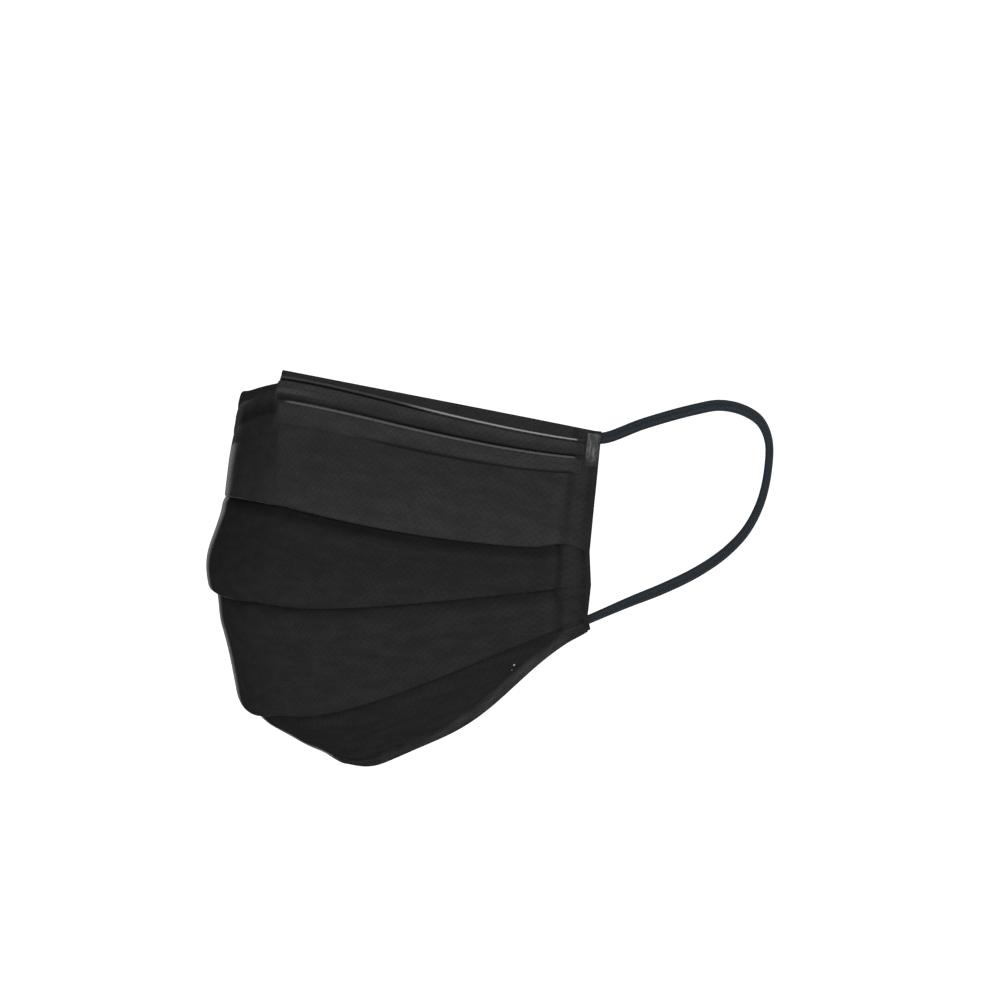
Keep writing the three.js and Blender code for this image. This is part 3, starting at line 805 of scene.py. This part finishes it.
def elastic_mesh(side, name):
    ends = [weld_place(side, **weld) for weld in SEATS]
    exits = [middle + out * ELASTIC_EXIT for middle, out, _ in ends]
    between = [(side * x, y, z) for x, y, z in EAR_LOOP_ROUTE]
    route, length = smooth_route([ends[0][0], exits[0], *between, exits[1], ends[1][0]], LOOP_STEPS)
    tangent = unit(np.gradient(route, axis=0))
    share = np.linspace(0, 1, LOOP_STEPS)[:, None]
    free = smooth(0, 0.2, share) * smooth(1, 0.8, share)
    seat = np.where(share < 0.5, ends[0][2], ends[1][2])
    flat = mix(seat, np.array([side, 0.0, 0.0]), free)
    flat = unit(flat - tangent * (flat * tangent).sum(-1, keepdims=True))
    sideways = np.cross(tangent, flat)
    across, off = elastic_ring()
    rings = route[:, None] + sideways[:, None] * across[:, None] + flat[:, None] * off[:, None]
    step, turn = np.divmod(np.arange(LOOP_STEPS * RING_STEPS), RING_STEPS)
    around_mm = turn / RING_STEPS * 2 * (ELASTIC_WIDTH + ELASTIC_THICKNESS)
    places = np.stack([around_mm, step * length / LOOP_STEPS], -1)
    print(name, "is", round(length), "mm long")
    return add_piece(name, rings.reshape(-1, 3), tube_faces(LOOP_STEPS, RING_STEPS), places)


loops = [elastic_mesh(side, f"ear_elastic_{side_name}") for side_name, side in SIDES.items()]

# %% [markdown]
# ## Weld marks
#
# Each elastic is welded through two corners of the mask. At the upper one the tool leaves a pale,
# streaked rectangle on the outside, right at the side edge. It is a thin pad of its own, so that
# it can catch the light apart from the cloth. Real ones end in a ragged, half melted fringe,
# which the finish below makes, so the pad itself can stay a plain grid.

# %% Weld marks at the corners
MARK_START = 0.6
MARK_OUTER = 0.1
MARK_INBOARD = 3.7
MARK_WALL = 0.16
MARK_PILLOW = 0.16
MARK_GRAIN = 0.05
MARK_FADES = (4.5, 9.0)


def weld_mark_grid(side):
    rows = np.linspace(MARK_START, MARK_START + WELD_LENGTH, 40)
    middle, out, normal = side_frames(side, rows)
    places = np.linspace(MARK_OUTER, MARK_INBOARD, 18)
    across_share = (places - MARK_OUTER) / (MARK_INBOARD - MARK_OUTER)
    over_lip = mix(LIP_LIFT + HEM_WALL / 2, CLOTH * WELDED / 2, smooth(0, LIP, places))
    pillow = MARK_PILLOW * np.sin(math.pi * across_share) ** 0.5
    grain = MARK_GRAIN * np.sin(rows[:, None] * 5.1) * np.sin(places * 6.7)
    above = over_lip + MARK_WALL / 2 + SEAM_GAP + pillow + grain
    on_margin = middle[:, None] - out[:, None] * places[:, None]
    return on_margin + normal[:, None] * above[..., None]


weld_marks = []
for side_name, side in SIDES.items():
    grid = weld_mark_grid(side)[:, ::-side]
    weld_marks.append(closed_sheet(f"weld_mark_{side_name}", grid, MARK_WALL / 2))

# %% [markdown]
# Above the hem, where a weld ran too hot, a large and a small drop of melted thread have set.
# Each is a stack of rings, narrow, wide and narrow again, seated on the cloth by the same two
# numbers that place a mark: how far across and how far down a panel.

# %% Drops beside the hem
DROPS = [
    dict(t=0.774, v=0.5, size=0.34),
    dict(t=0.757, v=0.59, size=0.16),
]
DROP_FLATNESS = 0.6
DROP_CUT = 0.35 * math.pi
DROP_RINGS = 6
DROP_SIDES = 12


def weld_drops():
    """The flattened drops of melted cloth beside the chin hem, as one piece."""
    last = len(PANELS) - 1
    around = np.linspace(0, 2 * math.pi, DROP_SIDES, endpoint=False)[:, None]
    points, faces = [], []
    for drop in DROPS:
        t, v = np.array([drop["t"]]), np.array([drop["v"]])
        normal, down = (way[0] for way in panel_normal(last, t, v))
        middle = panel_points(last, t, v)[0] + normal * CLOTH / 2
        ring = np.cos(around) * down + np.sin(around) * np.cross(normal, down)
        faces += tube_faces(DROP_RINGS, DROP_SIDES, len(points))
        for rise in np.linspace(-DROP_CUT, DROP_CUT, DROP_RINGS):
            level = middle + normal * drop["size"] * DROP_FLATNESS * math.sin(rise)
            points += (level + ring * drop["size"] * math.cos(rise)).tolist()
    return add_piece("weld_drops", points, faces)


drops = weld_drops()

# %% [markdown]
# ## Non-woven cloth as a material
#
# Spunbond is a felt of endless plastic threads, pressed together at a grid of tiny points. Close
# up it shows three things at three scales: clouds where the web is denser, single threads lying
# every way, and the points. The clouds change the colour; the threads and the points change both
# the colour and the bump. All of them read the "cloth" map, which is in millimetres, so a pitch
# can be typed in as a ruler gives it. First come a few helpers for the nodes that turn up in
# every finish: a map of the cloth, a noise, a change of range, a blend and a bump.

# %% Node helpers
TONE_RANGE = 2.0


class Finish:
    """A material with a principled shader and short words for adding nodes."""

    def __init__(self, name, **values):
        self.material = bpy.data.materials.new(name)
        self.material.use_nodes = True
        self.tree = self.material.node_tree
        self.shader = self.tree.nodes["Principled BSDF"]
        for socket, value in values.items():
            self.shader.inputs[socket.replace("_", " ")].default_value = value

    def node(self, kind, inputs=(), **settings):
        made = self.tree.nodes.new(kind)
        for key, value in settings.items():
            setattr(made, key, value)
        for socket, value in dict(inputs).items():
            if isinstance(value, bpy.types.NodeSocket):
                self.tree.links.new(value, made.inputs[socket])
            else:
                made.inputs[socket].default_value = value
        return made

    def cloth_map(self, turn=0.0, size=(1.0, 1.0)):
        """Places on the cloth in units of size, in millimetres, turned by an angle in degrees."""
        source = self.node("ShaderNodeUVMap", uv_map="cloth")
        place = {"Vector": source.outputs[0], "Scale": (*size, 1)}
        place["Rotation"] = (0, 0, math.radians(turn))
        return self.node("ShaderNodeMapping", place, vector_type="TEXTURE").outputs[0]

    def across_and_down(self, place):
        """The two distances of a place on the cloth map, in millimetres."""
        split = self.node("ShaderNodeSeparateXYZ", {"Vector": place})
        return split.outputs["X"], split.outputs["Y"]

    def noise(self, place, scale, detail=3.0, rough=0.5):
        values = {"Vector": place, "Scale": scale, "Detail": detail, "Roughness": rough}
        return self.node("ShaderNodeTexNoise", values, noise_dimensions="2D").outputs[0]

    def cells(self, turn, size, randomness):
        """Distance from the middle of the nearest cell."""
        values = {"Vector": self.cloth_map(turn, size), "Scale": 1.0, "Randomness": randomness}
        return self.node("ShaderNodeTexVoronoi", values, voronoi_dimensions="2D").outputs[0]

    def remap(self, value, low, high, to_low=0.0, to_high=1.0):
        values = {"Value": value, "From Min": low, "From Max": high}
        values |= {"To Min": to_low, "To Max": to_high}
        return self.node("ShaderNodeMapRange", values, interpolation_type="SMOOTHSTEP").outputs[0]

    def math(self, operation, a, b):
        return self.node("ShaderNodeMath", {0: a, 1: b}, operation=operation).outputs[0]

    def times(self, first, *others):
        for other in others:
            first = self.math("MULTIPLY", first, other)
        return first

    def blend(self, share, a, b, how="MIX"):
        settings = {"data_type": "RGBA", "blend_type": how}
        return self.node("ShaderNodeMix", {0: share, 6: a, 7: b}, **settings).outputs[2]

    def tone(self, colour, distance, tones, share=1.0):
        """The colour times a factor that is given at places in millimetres one way of the cloth."""
        span = tones[-1][0]
        ramp = self.node("ShaderNodeValToRGB", {"Fac": self.math("DIVIDE", distance, span)})
        stops = ramp.color_ramp.elements
        stops[0].position, stops[1].position = tones[0][0] / span, 1.0
        for place, _ in tones[1:-1]:
            stops.new(place / span)
        for stop, (_, factor) in zip(stops, tones):
            stop.color = grey(factor / TONE_RANGE)
        factor = self.blend(share, grey(1 / TONE_RANGE), ramp.outputs["Color"])
        half = self.blend(1.0, colour, factor, "MULTIPLY")
        return self.blend(1.0, half, grey(TONE_RANGE), "MULTIPLY")

    def bump(self, height, depth_mm, under=None):
        values = {"Strength": 1.0, "Distance": depth_mm * MM, "Height": height}
        if under is not None:
            values["Normal"] = under
        return self.node("ShaderNodeBump", values).outputs[0]

    def give(self, socket, value):
        self.tree.links.new(value, self.shader.inputs[socket])


def grey(value):
    return (value, value, value, 1.0)


# %% [markdown]
# ## Spunbond
#
# A felt of black plastic threads is matt: it has no mirror gloss at all, and the roughness is
# high. What it does have is fuzz, which lights up where the cloth turns away from the eye. That
# rim is the shader's sheen, steered by how squarely the surface faces us.
#
# Pressing changes the cloth. Along a weld the threads are melted flat, so a seam is a thin line
# that is smoother than the rest, and its paler and darker lines are painted highlights on the
# ridges and painted shade in the grooves, broken up a little by noise. The cloth's colour also
# carries painted shade: it is darkest just under a fold, and painted light makes it paler on the
# turn above. Painted light and shade also mark the ridges beside the margins. Two lists say so,
# one going down the cloth and one going outwards.

# %% Spunbond
POINT_PITCH = 1.35
CLOUD = (9.0, 3.0)
THREAD = (4.0, 0.22)
THREAD_TURNS = [8, 38, 67, 112, 151]
SEAM_GRAIN = 1.6
TONES_END = (81.0, 82.6)
SEAMS_END = (81.6, 82.4)
RIM = (0.82, 0.91)


def line_light_and_shade(finish, seam, flat, across, down, outwards):
    """Where a painted line of light or shade shows on the band, from 0 to 1: thin, broken, and only
    on the wearer's left.
    """
    gap = finish.math("ABSOLUTE", finish.math("SUBTRACT", down, seam["at"]), 0.0)
    return finish.times(
        finish.remap(gap, seam["width"], seam["width"] * 0.3),
        finish.remap(finish.noise(flat, SEAM_GRAIN, 4.0, 0.7), *seam["broken"]),
        finish.remap(outwards, *seam["grows"], seam["nose"], seam["side"]),
        finish.remap(across, -2.0, 0.0),
        finish.remap(across, *SEAMS_END, 1.0, 0.0),
    )


def spunbond(
    name, dark, light, fuzz=0.4, fuzz_from=-10, mottle=0.15, painted_lines=(), tones=(), side_tones=()
):
    """Black spunbond. Its pale and dark lines are painted highlights and shade on the band's welds
    and grooves. The tone lists paint light and shade on it, at places down it and out from its
    middle."""
    finish = Finish(name, Roughness=0.6, Specular_IOR_Level=0.0, Sheen_Roughness=0.35)
    flat = finish.cloth_map()
    across, down = finish.across_and_down(flat)
    outwards = finish.math("ABSOLUTE", across, 0.0)
    point = finish.remap(finish.cells(45, (POINT_PITCH, POINT_PITCH), 0.0), 0.38, 0.18)
    clouds = finish.noise(finish.cloth_map(0, CLOUD), 1.0, 5.0, 0.62)
    threads = finish.noise(finish.cloth_map(THREAD_TURNS[0], THREAD), 1.0, 2.0)
    for turn in THREAD_TURNS[1:]:
        more = finish.noise(finish.cloth_map(turn, THREAD), 1.0, 2.0)
        threads = finish.math("MAXIMUM", threads, more)
    grain = finish.noise(flat, 5.5, 2.0)
    web = finish.remap(clouds, 0.3, 0.7, 0.35 - mottle, 0.35 + mottle)
    tone = finish.math("ADD", web, finish.remap(threads, 0.55, 0.85, 0, 0.45))
    tone = finish.times(tone, finish.remap(point, 0, 1, 1.0, 0.66))
    colour = finish.blend(tone, grey(dark), grey(light))
    felt = finish.math("ADD", threads, finish.times(grain, 0.5))
    normal = finish.bump(point, -0.05, under=finish.bump(felt, 0.07))
    rough = finish.remap(grain, 0.3, 0.7, 0.52, 0.7)
    if tones:
        # painted light and shade down the cloth, fading out towards the side edges
        on_the_panels = finish.remap(outwards, *TONES_END, 1.0, 0.3)
        colour = finish.tone(colour, down, tones, on_the_panels)
    # painted light and shade outwards from the middle
    if side_tones:
        colour = finish.tone(colour, outwards, side_tones)
    if painted_lines:
        # painted shade: the band's colour is darker on the wearer's right half
        painted_shade_right = finish.remap(across, -6.0, 0.0, 0.78, 1.0)
        colour = finish.blend(1.0, colour, painted_shade_right, "MULTIPLY")
    # each line is painted into the colour, the pale ones as highlights and the dark ones as shade,
    # and it smooths the cloth
    for seam in painted_lines:
        shine = line_light_and_shade(finish, seam, flat, across, down, outwards)
        colour = finish.blend(shine, colour, grey(seam["shade"]))
        rough = finish.math("SUBTRACT", rough, finish.times(shine, 0.25))
    facing = finish.node("ShaderNodeLayerWeight", {"Blend": 0.5}).outputs["Facing"]
    rim = finish.remap(facing, *RIM, 0.0, fuzz)
    below_start = finish.remap(down, fuzz_from - 1, fuzz_from + 6)
    less_to_the_left = finish.remap(across, -5, 25, 1.0, 0.35)
    finish.give("Sheen Weight", finish.times(rim, below_start, less_to_the_left))
    finish.give("Base Color", colour)
    finish.give("Roughness", rough)
    finish.give("Normal", normal)
    return finish.material


# lines along the band: the pale ones are painted highlights on the weld ridges and on the crest
# over the wire, the dark ones painted shade in the grooves and under the flap's edge
BAND_LINES_LIGHT_AND_SHADE = [
    # grows gives the millimetres from the nose between which a line goes from nose to side
    dict(at=0.95, width=0.5, shade=0.003, broken=(0.1, 0.3), grows=(38, 52), nose=0.9, side=0.3),
    dict(at=0.4, width=0.28, shade=0.27, broken=(0.15, 0.35), grows=(34, 50), nose=0.06, side=1),
    dict(at=3.6, width=0.9, shade=0.07, broken=(0.2, 0.6), grows=(3, 22), nose=0.6, side=0),
    dict(at=5.6, width=0.5, shade=0.004, broken=(0.1, 0.3), grows=(10, 45), nose=0.2, side=0.8),
    dict(at=BAND_SEAM, width=0.34, shade=0.105, broken=(0.2, 0.45), grows=(0.8, 4), nose=0, side=1),
    dict(at=11.3, width=0.6, shade=0.004, broken=(0.1, 0.3), grows=(22, 36), nose=0, side=0.6),
]
BAND_PAINTED_LIGHT_AND_SHADE = [
    # millimetres down the band and its painted light: lit on the channel's top, shaded at its foot
    (0, 1.25), (1.2, 1.5), (2.4, 1.25), (4, 0.9), (5.8, 0.7), (7, 1.25), (10.5, 1.15), (12, 1.0),
]
CLOTH_PAINTED_SHADE_AND_LIGHT = [
    # the same down the cloth: painted shade just under each fold, painted light above the first
    # fold
    (0, 1.0), (5, 1.0), (22, 1.1), (38, 1.34), (45, 0.5), (47.6, 0.6), (51, 0.86), (78, 0.9),
    (82, 0.5), (84.6, 0.66), (88, 0.9), (120, 0.93), (124, 0.5), (126.4, 0.66), (130, 0.78),
    (170, 0.92),
]
SIDE_PAINTED_LIGHT_AND_SHADE = [
    # the same outwards from the middle: painted light and shade on the ridges and hollows by the
    # margins
    (0, 1.0), (77.5, 1.0), (80, 1.12), (81.6, 0.8), (83.2, 1.06), (84.8, 1.0), (86.2, 0.76),
    (88, 0.7),
]
# down the hem: darker at its upper edge, and painted shade where it turns under the bottom edge
HEM_PAINTED_SHADE = [(0, 0.66), (0.8, 0.78), (2.6, 1.1), (4.6, 1.05), (5.7, 0.72), (7.2, 0.6), (14, 0.8)]
# out from the middle: painted shade under the chin and at the ends, painted light between
HEM_SIDE_PAINTED_LIGHT_AND_SHADE = [
    (0, 0.7), (24, 0.7), (36, 0.95), (52, 1.08), (62, 1.05), (72, 1.1), (80, 1.0), (88, 0.8),
]
cloth_finish = spunbond(
    "black spunbond", 0.0152, 0.031, fuzz_from=12, tones=CLOTH_PAINTED_SHADE_AND_LIGHT, side_tones=SIDE_PAINTED_LIGHT_AND_SHADE
)
band_finish = spunbond(
    "pressed spunbond", 0.017, 0.037, fuzz=0.06, painted_lines=BAND_LINES_LIGHT_AND_SHADE, tones=BAND_PAINTED_LIGHT_AND_SHADE
)
hem_finish = spunbond(
    "hem spunbond", 0.019, 0.046, mottle=0.3, tones=HEM_PAINTED_SHADE, side_tones=HEM_SIDE_PAINTED_LIGHT_AND_SHADE
)
margin_finish = spunbond("margin spunbond", 0.0125, 0.026, fuzz=0.1)
print("point pitch", POINT_PITCH, "mm, threads lie at", THREAD_TURNS, "degrees")

# %% [markdown]
# ## Elastic, wire and weld marks
#
# The elastic is a narrow knit: a few ribs run along it, and rows of stitches cross them. It is a
# shade bluer and lighter than the cloth. The wire is dull aluminium, hidden in the band. A weld
# mark is melted thread with pale streaks that run down the side edge, and a drop of it is clear
# enough to shine.

# %% Elastic, wire, weld mark
ELASTIC_DARK = (0.010, 0.015, 0.020, 1)
ELASTIC_LIGHT = (0.025, 0.035, 0.045, 1)
STITCH = (0.83, 0.72)
MARK_DARK = (0.030, 0.033, 0.036, 1)
MARK_LIGHT = (0.105, 0.112, 0.118, 1)


def knitted_elastic(name):
    finish = Finish(name, Roughness=0.62, Specular_IOR_Level=0.1, Sheen_Weight=0.04)
    stitch = finish.remap(finish.cells(0, STITCH, 0.25), 0.55, 0.1)
    fuzz = finish.noise(finish.cloth_map(), 3.0, 3.0)
    tone = finish.times(stitch, finish.remap(fuzz, 0.25, 0.75, 0.5, 1.0))
    finish.give("Base Color", finish.blend(tone, ELASTIC_DARK, ELASTIC_LIGHT))
    finish.give("Normal", finish.bump(finish.math("ADD", stitch, fuzz), 0.12))
    return finish.material


def dull_aluminium(name):
    finish = Finish(name, Metallic=1.0, Roughness=0.42)
    streaks = finish.noise(finish.cloth_map(0, (6.5, 0.16)), 1.0, 4.0)
    finish.give("Base Color", finish.blend(streaks, grey(0.5), grey(0.66)))
    finish.give("Normal", finish.bump(streaks, 0.02))
    return finish.material


def melted_mark(name):
    """Melted cloth, streaked down the side edge, that fades into the margin with a ragged edge."""
    finish = Finish(name, Specular_IOR_Level=0.2)
    flat = finish.cloth_map()
    # the map of a mark runs down the side edge first
    down, across = finish.across_and_down(flat)
    streaks = finish.noise(finish.cloth_map(4, (4.2, 0.9)), 1.0, 4.0, 0.65)
    specks = finish.remap(streaks, 0.32, 0.66)
    ragged = finish.remap(finish.noise(flat, 0.9, 3.0), 0.2, 0.8, -1.1, 1.1)
    down = finish.math("ADD", down, ragged)
    across = finish.math("ADD", across, finish.times(ragged, 0.5))
    whole = finish.times(
        finish.remap(down, MARK_FADES[1], MARK_FADES[0]),
        finish.remap(across, MARK_INBOARD, MARK_INBOARD - 0.9),
    )
    melted = finish.blend(specks, MARK_DARK, MARK_LIGHT)
    finish.give("Base Color", finish.blend(whole, grey(0.016), melted))
    finish.give("Roughness", finish.remap(specks, 0, 1, 0.6, 0.42))
    finish.give("Normal", finish.bump(specks, 0.12))
    return finish.material


def clear_drop(name):
    return Finish(name, Base_Color=grey(0.35), Roughness=0.18, Specular_IOR_Level=0.6).material


elastic_finish = knitted_elastic("knitted elastic")
wire_finish = dull_aluminium("dull aluminium")
mark_finish = melted_mark("melted mark")

# %% [markdown]
# ## Dressing the frame
#
# Each piece now takes its finish, hides the solids of the frame that it stands for, and rides on
# the one rigid body.

# %% Dress
def dress(piece, finish, slot, *nodes):
    piece.data.materials.append(finish)
    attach(piece, "root")
    if nodes:
        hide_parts(*nodes)


dress(mask_cloth, cloth_finish, "mask_fabric", "mask_body")
dress(nose_band, band_finish, "band_fabric", "nose_band")
dress(nose_wire, wire_finish, "wire", "nose_wire")
dress(chin_hem, hem_finish, "hem_fabric", "chin_hem")
dress(side_margins[0], margin_finish, "hem_fabric", "side_hem_left")
dress(side_margins[1], margin_finish, "hem_fabric", "side_hem_right")
dress(loops[0], elastic_finish, "elastic", "ear_loop_left")
dress(loops[1], elastic_finish, "elastic", "ear_loop_right")
for mark in weld_marks:
    dress(mark, mark_finish, "hem_fabric")
dress(drops, clear_drop("clear drop"), "hem_fabric")

# %% [markdown]
# ## The floor
#
# The floor is a plain pale sheet that sweeps up on all sides, so that there is no horizon. It
# glows a little, which gives the even white of a product shelf. A black object can't stand much
# of that light itself: the floor therefore shows to the eye but throws no light or reflection
# on the mask, and the room below lights the mask in its place.

# %% Floor
FLOOR_DROP = 2.4
FLOOR_HALF = 6.0
SWEEP_RADIUS = 3.0
SWEEP_STEPS = 24
WALL_TOP = 7.0
FLOOR_SIDES = 96


def sweep_floor():
    """A floor that turns up into a wall on all sides, as one sheet of rings."""
    bend = np.linspace(0, math.pi / 2, SWEEP_STEPS + 1)
    radii = FLOOR_HALF + SWEEP_RADIUS * np.append(np.sin(bend), 1)[:, None]
    heights = np.append(SWEEP_RADIUS * (1 - np.cos(bend)), WALL_TOP)[:, None]
    turn = np.linspace(0, 2 * math.pi, FLOOR_SIDES, endpoint=False)
    rings = np.stack(np.broadcast_arrays(radii * np.cos(turn), radii * np.sin(turn), heights), -1)
    points = np.concatenate([np.zeros((1, 3)), rings.reshape(-1, 3)])
    points += (AIM.x, AIM.y, cad_box[0][2] - FLOOR_DROP)
    index = 1 + np.arange(radii.size * FLOOR_SIDES).reshape(-1, FLOOR_SIDES)
    after = np.roll(index, -1, axis=1)
    faces = quads(index[:-1], index[1:], after[1:], after[:-1]).tolist()
    faces += [[0, *pair] for pair in zip(index[0].tolist(), after[0].tolist())]
    return add_piece("studio_floor", points, faces, scale=1)


floor = sweep_floor()
paper = Finish(
    "pale paper",
    Roughness=0.9,
    Specular_IOR_Level=0.0,
    Emission_Color=grey(1.0),
    Emission_Strength=0.72,
)
paper_grain = paper.node("ShaderNodeTexNoise", {"Scale": 2.0, "Detail": 3.0}).outputs[0]
paper.give("Base Color", paper.blend(paper_grain, grey(0.78), grey(0.8)))
floor.data.materials.append(paper.material)
floor.visible_diffuse = False
floor.visible_glossy = False
floor.visible_shadow = False

# %% [markdown]
# ## The light
#
# Two soft lamps stand in front and to the left of the mask, one above eye level and one near
# it. They are weak, for black cloth shows every fold in a light that would leave white cloth
# grey. The rest is the room: bright walls and floor, and a dark ceiling, so that the tops of the
# bulges stay quiet and the turned-under edges pick up a little light from below.

# %% Lights
def soft_lamp(name, azimuth, elevation, distance, size, power):
    """A square area light that looks at the mask from a direction in degrees."""
    way = direction(azimuth, elevation)
    data = bpy.data.lights.new(name, "AREA")
    data.size = size
    data.energy = power
    lamp = bpy.data.objects.new(name, data)
    lamp.location = AIM + way * distance
    lamp.rotation_euler = way.to_track_quat("Z", "Y").to_euler()
    bpy.context.collection.objects.link(lamp)


ROOM_LIGHT = {"From Min": 0.45, "From Max": 0.75, "To Min": 0.75, "To Max": 0.05}
soft_lamp("key", azimuth=42, elevation=22, distance=1.8, size=0.8, power=8)
soft_lamp("side", azimuth=60, elevation=8, distance=1.4, size=0.6, power=5.4)
world = bpy.data.worlds.new("white room")
world.use_nodes = True
sky = world.node_tree
height = sky.nodes.new("ShaderNodeSeparateXYZ")
shade = sky.nodes.new("ShaderNodeMapRange")
sky.links.new(sky.nodes.new("ShaderNodeTexCoord").outputs["Generated"], height.inputs["Vector"])
sky.links.new(height.outputs["Z"], shade.inputs["Value"])
for socket, value in ROOM_LIGHT.items():
    shade.inputs[socket].default_value = value
sky.nodes["Background"].inputs["Color"].default_value = (1, 1, 1, 1)
sky.links.new(shade.outputs[0], sky.nodes["Background"].inputs["Strength"])
bpy.context.scene.world = world
bpy.context.scene.view_settings.view_transform = "Standard"
